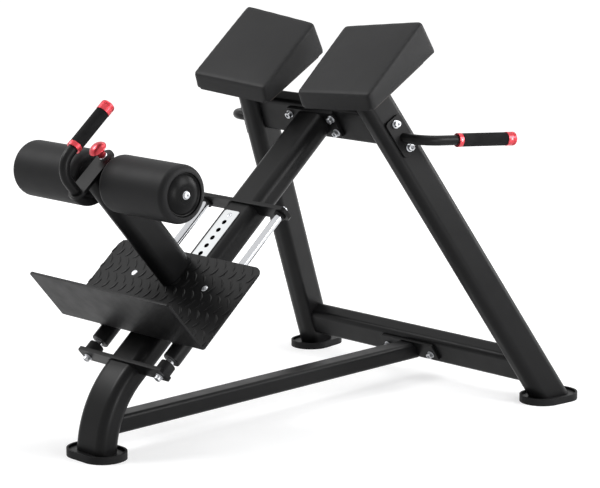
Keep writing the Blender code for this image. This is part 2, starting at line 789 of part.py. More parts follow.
def make_lower_frame():
    """Make the lower cross tube, the bottom rail and its flange."""
    half = REAR_FOOT_X
    tube = tube_mesh(CROSS_LOWER_DEPTH, CROSS_LOWER_HEIGHT, CROSS_LOWER_RADIUS, -half, half)
    tube = moved(tube, cross_matrix(CROSS_LOWER_Y, CROSS_LOWER_Z))
    front = rail_front()
    holes = [(sx * RAIL_BOLT_SPACING / 2.0, RAIL_BOLT_RISE) for sx in (-1, 1)]
    drills = [cylinder(BOLT_DIAMETER / 2.0 + HOLE_CLEARANCE, -TUBE_WALL * 2.5, 0.004,
                       front @ at(x, y, 0.0)) for x, y in holes]
    add("lower_cross_tube", cut(cut(tube, leg_cutters()), [group(drills)]), "frame_black")
    outline = [(x, y + RAIL_FLANGE_RISE) for x, y in
               trapezoid(RAIL_FLANGE_BOTTOM_WIDTH, RAIL_FLANGE_TOP_WIDTH, RAIL_FLANGE_HEIGHT)]
    add("rail_flange", flange(outline, RAIL_FLANGE_THICKNESS, RAIL_FLANGE_CORNER, holes, front),
        "frame_black")
    rail = tube_mesh(RAIL_WIDTH, RAIL_HEIGHT, RAIL_RADIUS, FRONT_FOOT_Y,
                     FRONT_FOOT_Y + CROSS_LOWER_Y)
    rail = moved(rail, facing((0.0, 1.0, 0.0), (0.0, 0.0, RAIL_Z), (1.0, 0.0, 0.0)))
    beam = swept_section(beam_path(), beam_outline(GAP))
    behind = box((0.2, 0.1, 0.2), at(0.0, FRONT_FOOT_Y - 0.02, RAIL_Z))
    beyond = 0.2
    end = box((0.2, 0.3, beyond), front @ at(0.0, 0.0, flange_face(RAIL_FLANGE_THICKNESS)
                                             - beyond / 2.0))
    add("bottom_rail", cut(rail, [beam, behind, end]), "frame_black")


def foot_outline(inset):
    """Give a foot's outline with round ends, drawn in by a distance."""
    return rounded_rectangle(FOOT_LENGTH - 2.0 * inset, FOOT_WIDTH - 2.0 * inset,
                             FOOT_WIDTH / 2.0 - inset, 8)


def foot_places():
    """Give each foot's name and frame; the rear feet are turned to lie along their legs."""
    places = [("front", Matrix.Translation((0.0, FRONT_FOOT_Y, 0.0)))]
    for side, word in SIDES:
        turn = Matrix.Rotation(math.pi / 2.0 - side * REAR_FOOT_TOE_OUT, 4, "Z")
        place = (side * REAR_FOOT_X, FRONT_FOOT_Y + REAR_FOOT_Y, 0.0)
        places.append(("rear_" + word, Matrix.Translation(place) @ turn))
    return places


def make_feet():
    """Make the rubber trays and the steel foot plates that lie in them."""
    tray = extrusion([foot_outline(0.0)], 0.0, CAP_HEIGHT)
    pocket = extrusion([foot_outline(CAP_LIP)], CAP_FLOOR, CAP_HEIGHT + 0.01)
    cap = cut(tray, [pocket])
    plate = extrusion([foot_outline(CAP_LIP + GAP)], CAP_FLOOR + GAP, FOOT_TOP)
    for word, frame in foot_places():
        add(word + "_foot_cap", cap.copy(), "rubber_black", None, frame)
        add(word + "_foot_plate", plate.copy(), "frame_black", None, frame)


# Guide rods

def bracket_mesh():
    """Make a rod bracket: a plate notched over the beam, its thickness along Z from 0."""
    half = BRACKET_WIDTH / 2.0
    top = BRACKET_TOP
    low = top - BRACKET_HEIGHT
    notch = beam_outline(GAP)
    arch = [point for point in notch if point[1] > low]
    arch.sort(key=lambda point: point[0])
    edge = arch[0][0]
    chamfer = BRACKET_CHAMFER
    outline = [(-half, top - chamfer), (-half, low + chamfer), (-half + chamfer, low),
               (edge, low)]
    outline += arch
    outline += [(-edge, low), (half - chamfer, low), (half, low + chamfer),
                (half, top - chamfer), (half - chamfer, top), (-half + chamfer, top)]
    outlines = [outline]
    outlines += [circle(BOLT_DIAMETER / 2.0 + HOLE_CLEARANCE, (x, ROD_HEIGHT), 12)
                 for x in (-ROD_SPACING / 2.0, ROD_SPACING / 2.0)]
    return extrusion(outlines, 0.0, BRACKET_THICKNESS)


def slope_frame(place, across=0.0, height=0.0):
    """Give a frame on the beam whose Z runs up the slope and whose Y points off the beam."""
    turn = Matrix(((1.0, 0.0, 0.0), (0.0, 0.0, 1.0), (0.0, 1.0, 0.0))).to_4x4()
    return at(across, place, height) @ turn


def up_slope(mesh, place, across=0.0, height=0.0):
    """Place a mesh whose Z is to run up the slope, in the beam's frame."""
    return moved(mesh, slope_frame(place, across, height))


def rod_span():
    """Give the rods' lower and upper ends."""
    return BRACKET_LOWER + BRACKET_THICKNESS + GAP, BRACKET_UPPER - GAP


def make_guides():
    """Make the rod brackets, the guide rods and the bumpers at the rods' feet."""
    bracket = bracket_mesh()
    add("lower_rod_bracket", up_slope(bracket, BRACKET_LOWER), "frame_black", beam_frame)
    add("upper_rod_bracket", up_slope(bracket, BRACKET_UPPER), "frame_black", beam_frame)
    low, high = rod_span()
    radius = ROD_DIAMETER / 2.0
    bore = BOLT_DIAMETER / 2.0
    depth = ROD_BORE_DEPTH
    profile = [(0.0, high - depth), (bore, high - depth), (bore, high), (radius - 0.001, high),
               (radius, high - 0.001), (radius, low + 0.001), (radius - 0.001, low),
               (bore, low), (bore, low + depth), (0.0, low + depth)]
    rod = turned(profile)
    bumper = turned(ring_profile(BUMPER_DIAMETER / 2.0, radius + GAP, low + GAP,
                                 low + GAP + BUMPER_LENGTH, 0.002), closed=True)
    for side, word in SIDES:
        across = side * ROD_SPACING / 2.0
        add("guide_rod_" + word, up_slope(rod, 0.0, across, ROD_HEIGHT), "chrome", beam_frame)
        add("rod_bumper_" + word, up_slope(bumper, 0.0, across, ROD_HEIGHT), "rubber_black",
            beam_frame)


def make_strip():
    """Make the adjuster strip with its holes and the screw at its upper end."""
    low, high = strip_ends()
    middle = (low + high) / 2.0
    outline = [(x, y + middle) for x, y in
               rounded_rectangle(STRIP_WIDTH, high - low, STRIP_CORNER, 3)]
    outlines = [outline] + [circle(HOLE_DIAMETER / 2.0, (0.0, place), 12)
                            for place in hole_places()]
    strip = extrusion(outlines, BEAM_TOP + GAP, STRIP_FACE)
    reach = STRIP_THICKNESS + TUBE_WALL + 0.003
    sizes = (STRIP_SCREW_DIAMETER, STRIP_SCREW_HEAD, STRIP_SCREW_HEAD_HEIGHT, reach)
    seat = at(0.0, strip_screw_place(), STRIP_FACE)
    add("adjuster_strip", cut(strip, [moved(flat_screw_seat(*sizes), seat)]), "chrome",
        beam_frame)
    add("strip_screw", moved(flat_screw(*sizes), seat), "zinc", beam_frame)


# Carriage

def make_sleeves():
    """Make the two slide sleeves, each with the saddle block that carries the foot plate."""
    low, high = SLEEVE_LOWER, SLEEVE_LOWER + SLEEVE_LENGTH
    outer, relief = SLEEVE_DIAMETER / 2.0, SLEEVE_RELIEF / 2.0
    bore = ROD_DIAMETER / 2.0 + RUNNING_CLEARANCE
    bearing, mouth = SLEEVE_BEARING_LENGTH, SLEEVE_MOUTH
    profile = [(outer - mouth, high), (outer, high - mouth), (outer, low + mouth),
               (outer - mouth, low), (bore + mouth, low), (bore, low + mouth),
               (bore, low + bearing), (relief, low + bearing), (relief, high - bearing),
               (bore, high - bearing), (bore, high - mouth), (bore + mouth, high)]
    sleeve = up_slope(turned(profile, closed=True), 0.0, 0.0, ROD_HEIGHT)
    sizes = foot_screw_sizes()
    for side, word in SIDES:
        across = side * ROD_SPACING / 2.0
        body = joined(moved(sleeve, at(across, 0.0, 0.0)), [saddle_mesh(across)])
        seat = at(side * FOOT_SCREW_SPACING / 2.0, FOOT_SCREW_PLACE, TOE_PLATE_TOP)
        body = cut(body, [moved(flat_screw_seat(*sizes), seat)])
        add("slide_sleeve_" + word, body, "plastic_black", beam_frame)
        add("foot_plate_screw_" + word, moved(flat_screw(*sizes), seat), "zinc", beam_frame)


def saddle_mesh(across):
    """Make a saddle block; it stands in the sleeve's wall and reaches up to the toe plate."""
    low = ROD_HEIGHT + SLEEVE_DIAMETER / 2.0 - SADDLE_DEPTH
    high = TOE_PLATE_TOP - FOOT_PLATE_THICKNESS - GAP
    middle = SLEEVE_LOWER + SLEEVE_LENGTH / 2.0
    outline = rounded_rectangle(SADDLE_WIDTH, SADDLE_LENGTH, 0.004, 2)
    return moved(extrusion([outline], low, high), at(across, middle, 0.0))


def foot_screw_sizes():
    """Give the foot plate screws' shank, head and head height, and how deep they reach."""
    reach = TOE_PLATE_TOP - ROD_HEIGHT - SLEEVE_DIAMETER / 2.0 - 0.001
    return FLAT_SCREW_DIAMETER, FLAT_SCREW_HEAD, FLAT_SCREW_HEAD_HEIGHT, reach


def foot_plate_profile():
    """Give the bent plate's side outline as places up the slope and heights off it."""
    low, top = TOE_PLATE_LOWER, TOE_PLATE_TOP
    thick = FOOT_PLATE_THICKNESS
    outer = FOOT_PLATE_BEND
    inner = outer - thick
    high = top + SOLE_PLATE_HEIGHT
    middle = (low + outer, top - thick + outer)
    points = [(low + TOE_PLATE_LENGTH, top - thick), (low + TOE_PLATE_LENGTH, top)]
    steps = 4
    for k in range(steps + 1):
        angle = math.radians(270.0 - 90.0 * k / steps)
        points.append((middle[0] + inner * math.cos(angle), middle[1] + inner * math.sin(angle)))
    points += [(low + thick, high), (low, high)]
    for k in range(steps + 1):
        angle = math.radians(180.0 + 90.0 * k / steps)
        points.append((middle[0] + outer * math.cos(angle), middle[1] + outer * math.sin(angle)))
    return points


def round_plate_corners(mesh):
    """Round the free corners of the toe plate and of the sole plate."""
    work = bmesh.new()
    work.from_mesh(mesh)
    bmesh.ops.dissolve_limit(work, angle_limit=0.01, verts=work.verts, edges=work.edges)
    toe_end = TOE_PLATE_LOWER + TOE_PLATE_LENGTH - 0.001
    sole_end = TOE_PLATE_TOP + SOLE_PLATE_HEIGHT - 0.001
    side = FOOT_PLATE_WIDTH / 2.0 - 0.001
    toe = [edge for edge in work.edges
           if all(abs(v.co.x) > side and v.co.y > toe_end for v in edge.verts)]
    sole = [edge for edge in work.edges
            if all(abs(v.co.x) > side and v.co.z > sole_end for v in edge.verts)]
    for edges, radius in ((toe, TOE_CORNER), (sole, SOLE_CORNER)):
        bmesh.ops.bevel(work, geom=edges, offset=radius, offset_type="OFFSET", segments=5,
                        profile=0.5, affect="EDGES", material=-1, clamp_overlap=True)
    work.to_mesh(mesh)
    work.free()
    return mesh


def make_foot_plate():
    """Make the bent foot plate, drilled for its screws and the pull pin."""
    half = FOOT_PLATE_WIDTH / 2.0
    plate = extrusion([foot_plate_profile()], -half, half)
    turn = Matrix(((0.0, 0.0, 1.0), (1.0, 0.0, 0.0), (0.0, 1.0, 0.0))).to_4x4()
    plate = round_plate_corners(moved(plate, turn))
    sizes = foot_screw_sizes()
    cutters = [moved(flat_screw_seat(*sizes), at(side * FOOT_SCREW_SPACING / 2.0,
                                                 FOOT_SCREW_PLACE, TOE_PLATE_TOP))
               for side, word in SIDES]
    cutters.append(cylinder(PIN_DIAMETER / 2.0 + HOLE_CLEARANCE, -0.01, 0.01,
                            at(0.0, PIN_PLACE, TOE_PLATE_TOP)))
    add("foot_plate", cut(plate, [group(cutters)]), "frame_black", beam_frame)


def make_roller_arm():
    """Make the hollow roller arm and the plate on top of it."""
    tube = tube_mesh(ARM_DEPTH, ARM_WIDTH, ARM_RADIUS, TOE_PLATE_TOP + GAP, ARM_TOP)
    axle = cylinder(AXLE_DIAMETER / 2.0 + GAP, -ARM_DEPTH, ARM_DEPTH,
                    facing((1.0, 0.0, 0.0), (0.0, 0.0, AXLE_HEIGHT), (0.0, 1.0, 0.0)), 16)
    add("roller_arm", moved(cut(tube, [axle]), at(0.0, ARM_PLACE, 0.0)), "frame_black",
        beam_frame)
    middle = (HEAD_PLATE_LOWER + HEAD_PLATE_UPPER) / 2.0
    length = HEAD_PLATE_UPPER - HEAD_PLATE_LOWER
    outline = [(x, y + middle) for x, y in
               rounded_rectangle(ARM_DEPTH, length, ARM_DEPTH / 2.0, 8)]
    hole = circle(BUSH_BODY_DIAMETER / 2.0 + GAP, (0.0, PIN_PLACE), 16)
    plate = extrusion([outline, hole], ARM_TOP + GAP, HEAD_PLATE_FACE)
    add("arm_head_plate", plate, "frame_black", beam_frame)


# Rollers

def roller_profile():
    """Give the foam roller's closed profile about its axis, from end to end."""
    outer = ROLLER_DIAMETER / 2.0
    bore = CORE_DIAMETER / 2.0 + GAP
    shoulder = ROLLER_SHOULDER
    low, high = ROLLER_INNER, ROLLER_OUTER
    steps = 5
    edge = outer - shoulder - ROLLER_DISH_MARGIN
    dish = [(bore, ROLLER_DISH), (edge - 0.006, ROLLER_DISH), (edge, 0.001),
            (edge + 0.002, 0.0)]
    recess = ROLLER_CAP_RADIUS + GAP
    seat = [(bore, ROLLER_DISH), (recess, ROLLER_DISH), (recess, 0.001),
            (recess + ROLLER_CAP_MARGIN / 2.0, 0.0)]
    points = [(radius, high - depth) for radius, depth in seat]
    for k in range(steps + 1):
        angle = math.pi / 2.0 * (1.0 - k / steps)
        points.append((outer - shoulder + shoulder * math.cos(angle),
                       high - shoulder + shoulder * math.sin(angle)))
    for k in range(steps + 1):
        angle = -math.pi / 2.0 * k / steps
        points.append((outer - shoulder + shoulder * math.cos(angle),
                       low + shoulder + shoulder * math.sin(angle)))
    points += [(radius, low + depth) for radius, depth in reversed(dish)]
    return points


def core_profile():
    """Give a roller core's closed profile: a tube that carries the domed cap at its outer end."""
    bore = AXLE_DIAMETER / 2.0 + RUNNING_CLEARANCE
    tube = CORE_DIAMETER / 2.0
    low = ARM_DEPTH / 2.0 + GAP
    seat = ROLLER_OUTER - ROLLER_DISH + GAP
    rim = ROLLER_CAP_RADIUS
    edge = ROLLER_OUTER - ROLLER_CAP_SINK
    foot = rim - 0.0035
    hub = ROLLER_HUB_DIAMETER / 2.0
    step = 0.0006
    points = [(bore, CORE_END), (hub - step, CORE_END)]
    steps = 5
    for k in range(steps + 1):
        share = k / steps
        rise = (CORE_END - step - edge + 0.0008) * (1.0 - share * share)
        points.append((hub + (foot - hub) * share, edge - 0.0008 + rise))
    points += [(rim - 0.0025, edge), (rim - 0.0008, edge), (rim, edge - 0.0008), (rim, seat),
               (tube, seat), (tube, low), (bore, low)]
    return points


def axle_frame(side):
    """Give a frame on the roller axle whose Z runs outward to one side."""
    turn = Matrix(((0.0, 0.0, side), (0.0, 1.0, 0.0), (-side, 0.0, 0.0))).to_4x4()
    return at(0.0, ARM_PLACE, AXLE_HEIGHT) @ turn


def make_rollers():
    """Make the axle, its end screws, and the foam rollers on their cores."""
    axle_radius = AXLE_DIAMETER / 2.0
    axle_half = CORE_END + GAP
    tip = 0.001
    depth = END_SCREW_DEPTH
    bore = END_SCREW_DIAMETER / 2.0 + HOLE_CLEARANCE / 2.0
    profile = [(0.0, axle_half - depth), (bore, axle_half - depth), (bore, axle_half),
               (axle_radius - tip, axle_half), (axle_radius, axle_half - tip),
               (axle_radius, -axle_half + tip), (axle_radius - tip, -axle_half),
               (bore, -axle_half), (bore, -axle_half + depth), (0.0, -axle_half + depth)]
    add("roller_axle", moved(turned(profile), axle_frame(1)), "zinc", beam_frame)
    foam = turned(roller_profile(), closed=True, steps=28)
    core = turned(core_profile(), closed=True)
    low = axle_half + GAP
    head = END_SCREW_HEAD / 2.0
    high = low + END_SCREW_HEAD_HEIGHT
    shank = END_SCREW_DIAMETER / 2.0
    end = low - depth + 0.002
    screw = turned([(0.0, high), (head - 0.002, high), (head, high - 0.0015), (head, low),
                    (shank, low), (shank, end), (0.0, end)])
    for side, word in SIDES:
        turning = add_frame("roller_" + word, axle_frame(side), beam_frame)
        add("ankle_roller_" + word, foam.copy(), "roller_foam", turning)
        add("roller_core_" + word, core.copy(), "plastic_black", turning)
        add("axle_end_screw_" + word, moved(screw, axle_frame(side)), "zinc", beam_frame)


# Handles

def grip_set(grip_length):
    """Give a handle's collar, grip and cap, along Z from the collar's foot, and the tube's end."""
    bore = HANDLE_DIAMETER / 2.0 + GAP
    band = COLLAR_BAND_DIAMETER / 2.0
    collar = turned(ring_profile(band, bore, 0.0, COLLAR_BAND_LENGTH, 0.001), closed=True)
    grip_low = COLLAR_BAND_LENGTH + GAP
    grip_high = grip_low + grip_length
    soft = turned(ring_profile(GRIP_DIAMETER / 2.0, bore, grip_low, grip_high, 0.002),
                  closed=True)
    cap_low = grip_high + GAP
    cap_high = cap_low + CAP_LENGTH
    inside = cap_high - CAP_END
    groove = cap_low + CAP_GROOVE_PLACE
    root = band - CAP_GROOVE
    outline = [(0.0, cap_high), (band - 0.004, cap_high), (band - 0.001, cap_high - 0.0015),
               (band, cap_high - 0.004), (band, groove + 0.0015), (root, groove + 0.001),
               (root, groove - 0.001), (band, groove - 0.0015), (band, cap_low),
               (bore, cap_low), (bore, inside), (0.0, inside)]
    cap = turned(outline)
    return collar, soft, cap, inside - GAP


def bent_path(start, first, second, reach, run, bend, steps=7):
    """Give points that leave along one direction, bend and run along another."""
    first = Vector(first).normalized()
    second = Vector(second).normalized()
    corner = Vector(start) + first * reach
    turn = first.angle(second)
    tangent = min(bend * math.tan(turn / 2.0), reach * 0.95)
    radius = tangent / math.tan(turn / 2.0)
    begin = corner - first * tangent
    inward = (second - first * second.dot(first)).normalized()
    middle = begin + inward * radius
    points = [Vector(start)]
    for k in range(steps + 1):
        angle = turn * k / steps
        points.append(middle - inward * (radius * math.cos(angle))
                      + first * (radius * math.sin(angle)))
    points.append(corner + second * (tangent + run))
    return points


def hip_plate_matrix(side):
    """Give the frame of a hip handle's plate: Z out of the leg, Y up along it."""
    foot, along, normal = leg_axes(side)
    place = foot + along * HIP_PLATE_ALONG + normal * (LEG_DEPTH / 2.0 + GAP)
    return facing(normal, place, normal.cross(along) * -1.0)


def hip_bolt_places():
    """Give the two bolts' places along a hip handle's plate."""
    return [-HIP_BOLT_SPACING / 2.0, HIP_BOLT_SPACING / 2.0]


def make_hip_handles():
    """Make both hip handles with their plates, grips, collars and caps."""
    collar, soft, cap, inside = grip_set(HIP_GRIP_LENGTH)
    outlines = [rounded_rectangle(HIP_PLATE_WIDTH, HIP_PLATE_LENGTH, HIP_PLATE_CORNER, 3)]
    outlines += [circle(BOLT_DIAMETER / 2.0 + HOLE_CLEARANCE, (0.0, place), 12)
                 for place in hip_bolt_places()]
    plate = extrusion(outlines, 0.0, HIP_PLATE_THICKNESS)
    backing = box((0.3, 0.3, 0.1), at(0.0, 0.0, HIP_PLATE_THICKNESS + GAP - 0.05))
    for side, word in SIDES:
        seat = hip_plate_matrix(side)
        add("hip_handle_plate_" + word, plate.copy(), "frame_black", None, seat)
        run = Vector((side * math.sin(HIP_HANDLE_SPLAY), math.cos(HIP_HANDLE_SPLAY),
                      -math.tan(HIP_HANDLE_DROP))).normalized()
        points = bent_path(seat @ Vector((0.0, -HIP_HANDLE_OFFSET, 0.0)), (side, 0.0, 0.0), run,
                           HIP_HANDLE_REACH, HIP_HANDLE_RUN + inside, HIP_HANDLE_BEND)
        bar = cut(swept(points, HANDLE_DIAMETER / 2.0), [moved(backing, seat)])
        add("hip_handle_tube_" + word, bar, "frame_black")
        frame = facing(run, points[-1] - run * inside, (0.0, 0.0, 1.0))
        add("hip_handle_collar_" + word, collar.copy(), "red_anodised", None, frame)
        add("hip_handle_grip_" + word, soft.copy(), "grip_foam", None, frame)
        add("hip_handle_cap_" + word, cap.copy(), "red_anodised", None, frame)


def make_arm_handle():
    """Make the bent handle on the roller arm, with its grip, collar and cap."""
    collar, soft, cap, inside = grip_set(ARM_GRIP_LENGTH)
    start = (0.0, ARM_HANDLE_PLACE, HEAD_PLATE_FACE + GAP)
    points = bent_path(start, (0.0, 0.0, 1.0), (0.0, 1.0, 0.0),
                       ARM_GRIP_HEIGHT - HEAD_PLATE_FACE - GAP, ARM_HANDLE_RUN + inside,
                       ARM_HANDLE_BEND)
    add("arm_handle_tube", swept(points, HANDLE_DIAMETER / 2.0), "frame_black", beam_frame)
    foot = points[-1] - Vector((0.0, inside, 0.0))
    frame = facing((0.0, 1.0, 0.0), foot, (0.0, 0.0, 1.0))
    add("arm_handle_collar", collar, "red_anodised", beam_frame, frame)
    add("arm_handle_grip", soft, "grip_foam", beam_frame, frame)
    add("arm_handle_cap", cap, "red_anodised", beam_frame, frame)


# Pull pin

def make_pull_pin():
    """Make the pin, its knob, the bush that guides it and the spring on it."""
    radius = PIN_DIAMETER / 2.0
    face = HEAD_PLATE_FACE
    bore = radius + RUNNING_CLEARANCE
    flange_top = face + GAP + BUSH_FLANGE_THICKNESS
    body_low = face - BUSH_BODY_LENGTH
    flange_edge = BUSH_FLANGE_DIAMETER / 2.0
    body = BUSH_BODY_DIAMETER / 2.0
    outline = [(bore, flange_top), (flange_edge - 0.001, flange_top),
               (flange_edge, flange_top - 0.001), (flange_edge, face + GAP),
               (body, face + GAP), (body, body_low), (bore, body_low)]
    place = at(0.0, PIN_PLACE, 0.0)
    add("pin_bush", moved(turned(outline, closed=True), place), "chrome", beam_frame)
    sliding = add_frame("pull_pin_frame", place, beam_frame)
    shoulder_top = body_low - SPRING_LENGTH - 2.0 * GAP - PIN_TRAVEL_OUT
    shoulder = PIN_SHOULDER_DIAMETER / 2.0
    shoulder_low = shoulder_top - PIN_SHOULDER_THICKNESS
    tip = STRIP_FACE - PIN_DEPTH
    stem_low = flange_top + GAP
    pin_top = KNOB_RIM_HEIGHT
    pin = turned([(0.0, pin_top), (radius, pin_top), (radius, shoulder_top),
                  (shoulder, shoulder_top), (shoulder, shoulder_low), (radius, shoulder_low),
                  (radius, tip + 0.002), (radius - 0.0015, tip), (0.0, tip)])
    add("pull_pin", pin, "chrome", sliding)
    knob = KNOB_DIAMETER / 2.0
    stem = KNOB_STEM_DIAMETER / 2.0
    rim = KNOB_RIM_HEIGHT
    hole = radius + GAP
    profile = [(0.0, rim + KNOB_DOME), (knob * 0.45, rim + KNOB_DOME * 0.88),
               (knob * 0.78, rim + KNOB_DOME * 0.55), (knob * 0.96, rim + KNOB_DOME * 0.22),
               (knob, rim), (knob * 0.93, rim - 0.0025), (stem + 0.004, rim - 0.005),
               (stem, rim - 0.011), (stem, stem_low), (hole, stem_low), (hole, rim + GAP),
               (0.0, rim + GAP)]
    add("pull_knob", turned(profile, steps=20), "red_anodised", sliding)
    add("pin_spring", moved(make_spring(), at(0.0, PIN_PLACE, body_low - GAP - SPRING_LENGTH)),
        "spring_steel", beam_frame)


def make_spring():
    """Make the coil spring about the pin, standing on Z = 0."""
    wire = SPRING_WIRE / 2.0
    per_turn = 8
    count = SPRING_TURNS * per_turn
    rise = SPRING_LENGTH - SPRING_WIRE - 0.0008
    points = []
    for k in range(count + 1):
        angle = 2.0 * math.pi * k / per_turn
        points.append((SPRING_RADIUS * math.cos(angle), SPRING_RADIUS * math.sin(angle),
                       wire + 0.0004 + rise * k / count))
    return swept(points, wire, 0)


# Hip pads

def pad_point(u, v, w, side):
    """Map a point of the unit block to the wedge-shaped pad; u runs outward."""
    outward = (u + 1.0) / 2.0
    length = PAD_INNER_LENGTH + (PAD_OUTER_LENGTH - PAD_INNER_LENGTH) * outward
    along = (v + 1.0) / 2.0
    upward = (w + 1.0) / 2.0
    thickness = PAD_FRONT_THICKNESS + (PAD_BACK_THICKNESS - PAD_FRONT_THICKNESS) * along
    crown = PAD_CROWN * (1.0 - u * u) * (1.0 - v * v) * upward
    waist = PAD_DRAW_IN * (1.0 - w * w)
    x = side * u * (PAD_WIDTH / 2.0 - waist)
    front = PAD_FRONT_RAKE * upward
    y = front + (length - front) * along - waist * v
    return Vector((x, y, thickness * upward + crown))


def make_pad(side):
    """Make a wedge-shaped hip cushion with rounded edges and a crowned top."""
    mesh = bpy.data.meshes.new("pad")
    work = bmesh.new()
    bmesh.ops.create_cube(work, size=2.0)
    bmesh.ops.subdivide_edges(work, edges=work.edges, cuts=8, use_grid_fill=True)
    half = Vector((PAD_WIDTH / 2.0, PAD_INNER_LENGTH / 2.0, PAD_BACK_THICKNESS / 2.0))
    for vert in work.verts:
        block = Vector((rounded_step(vert.co.x), rounded_step(vert.co.y),
                        rounded_step(vert.co.z)))
        real = Vector((block.x * half.x, block.y * half.y, block.z * half.z))
        core = Vector([max(-h + PAD_EDGE_RADIUS, min(h - PAD_EDGE_RADIUS, c))
                       for c, h in zip(real, half)])
        if block.z < 0.0:
            core.z = real.z
        off = real - core
        if off.length > 0.000001:
            real = core + off.normalized() * min(PAD_EDGE_RADIUS, off.length)
        u, v, w = real.x / half.x, real.y / half.y, real.z / half.z
        vert.co = pad_point(u * side, v, w, side)
    bmesh.ops.recalc_face_normals(work, faces=work.faces)
    work.to_mesh(mesh)
    work.free()
    return mesh


def rounded_step(value):
    """Crowd a block's grid lines towards its edges, where the rounding is."""
    return math.copysign(abs(value) ** 0.45, value) if value else 0.0


def make_hip_pads():
    """Make both cushions with the boards under them and the brackets on the legs."""
    middle = (PAD_INNER_LENGTH + PAD_OUTER_LENGTH) / 4.0
    board = [(x, y + middle) for x, y in
             rounded_rectangle(PAD_WIDTH - 2.0 * PAD_BOARD_INSET,
                               PAD_INNER_LENGTH - 2.0 * PAD_BOARD_INSET, 0.01, 3)]
    bracket = [(x, y + middle) for x, y in
               rounded_rectangle(PAD_BRACKET_WIDTH, PAD_BRACKET_LENGTH, 0.01, 3)]
    board_low = -GAP - PAD_BOARD_THICKNESS
    bracket_low = board_low - GAP - PAD_BRACKET_THICKNESS
    for side, word in SIDES:
        frame = pad_matrix(side)
        add("hip_pad_" + word, make_pad(side), "pad_vinyl", None, frame)
        add("pad_board_" + word, extrusion([board], board_low, -GAP), "plywood", None, frame)
        add("pad_bracket_" + word, extrusion([bracket], bracket_low, board_low - GAP),
            "frame_black", None, frame)


make_main_beam()
make_head()
make_rear_leg("rear_leg_left", -1)
make_rear_leg("rear_leg_right", 1)
make_lower_frame()
make_feet()
make_guides()
make_strip()
make_sleeves()
make_foot_plate()
make_roller_arm()
make_rollers()
make_hip_handles()
make_arm_handle()
make_pull_pin()
make_hip_pads()
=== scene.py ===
"""Looks of the hyperextension bench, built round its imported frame.

Metres, +Z up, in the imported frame's own axes.  Each piece sits where its
solid does, rides on the solid's body and stands for it.
"""
from __future__ import annotations

import json
import logging
import math
from dataclasses import dataclass
from enum import Enum
from typing import Callable, Iterable, Sequence

import bmesh
import bpy
from bmesh.types import BMEdge, BMFace, BMVert
from bpy.types import NodeSocket
from mathutils import Matrix, Vector

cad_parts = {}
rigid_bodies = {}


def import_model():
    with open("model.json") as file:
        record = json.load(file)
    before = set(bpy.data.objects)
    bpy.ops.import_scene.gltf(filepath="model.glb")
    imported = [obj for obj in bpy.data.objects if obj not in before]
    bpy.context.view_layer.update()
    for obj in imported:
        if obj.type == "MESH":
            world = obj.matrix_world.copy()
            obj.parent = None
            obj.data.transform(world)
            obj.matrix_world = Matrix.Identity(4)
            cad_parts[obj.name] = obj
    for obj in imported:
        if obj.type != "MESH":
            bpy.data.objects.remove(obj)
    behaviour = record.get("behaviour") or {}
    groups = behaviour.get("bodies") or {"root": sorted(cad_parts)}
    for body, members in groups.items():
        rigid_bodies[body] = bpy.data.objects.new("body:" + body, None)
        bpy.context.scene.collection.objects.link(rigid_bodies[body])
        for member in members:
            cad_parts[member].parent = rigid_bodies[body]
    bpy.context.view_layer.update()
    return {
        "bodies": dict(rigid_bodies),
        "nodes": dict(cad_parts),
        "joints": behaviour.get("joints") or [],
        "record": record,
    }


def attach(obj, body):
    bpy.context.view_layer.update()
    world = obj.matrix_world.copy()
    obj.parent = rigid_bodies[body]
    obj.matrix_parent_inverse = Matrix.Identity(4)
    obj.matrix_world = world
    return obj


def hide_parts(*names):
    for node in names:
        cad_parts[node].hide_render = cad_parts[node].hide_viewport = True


LOG = logging.getLogger("hyperextension_bench")
Point = tuple[float, float]
Triple = tuple[float, float, float]
GAP = 0.0003
MERGE = 0.000001
PLATE_EDGE = 0.0009
QUARTER = math.pi / 2.0
SIDES = ((-1, "left"), (1, "right"))


class Body(Enum):
    """The moving bodies of the bench."""

    FRAME = "frame"
    CARRIAGE = "carriage"
    PIN = "pull_pin_body"
    ROLLER_LEFT = "roller_left"
    ROLLER_RIGHT = "roller_right"


class Grain(Enum):
    """The fine relief of a surface: its texture node, the node's values and its output."""

    RIPPLE = ("TexNoise", {"Detail": 2.5}, "Fac")
    LEATHER = ("TexVoronoi", {"feature": "DISTANCE_TO_EDGE"}, "Distance")
    CELLS = ("TexVoronoi", {"feature": "SMOOTH_F1"}, "Distance")
    PLY = ("TexWave", {"Distortion": 1.5, "Detail": 3.0, "bands_direction": "Z"}, "Fac")


# Places and directions

def shift(x: float, y: float, z: float) -> Matrix:
    """Give a plain shift."""
    return Matrix.Translation((x, y, z))


def rotation(degrees: float, axis: str) -> Matrix:
    """Give a turn about an axis."""
    return Matrix.Rotation(math.radians(degrees), 4, axis)


def facing(direction: Sequence[float], origin: Sequence[float] = (0.0, 0.0, 0.0),
           across: Sequence[float] = (1.0, 0.0, 0.0)) -> Matrix:
    """Give the matrix that turns Z to a direction.

    Args:
        direction: where Z is to point.
        origin: where the origin is to lie.
        across: the direction that X is kept near.

    Returns:
        The placing matrix.
    """
    z_axis = Vector(direction).normalized()
    y_axis = z_axis.cross(Vector(across)).normalized()
    x_axis = y_axis.cross(z_axis)
    turn = Matrix((x_axis, y_axis, z_axis)).transposed().to_4x4()
    return Matrix.Translation(origin) @ turn


def sideways(side: int, origin: Sequence[float] = (0.0, 0.0, 0.0)) -> Matrix:
    """Give the matrix that turns Z out to a side."""
    return facing((side, 0.0, 0.0), origin, (0.0, 1.0, 0.0))


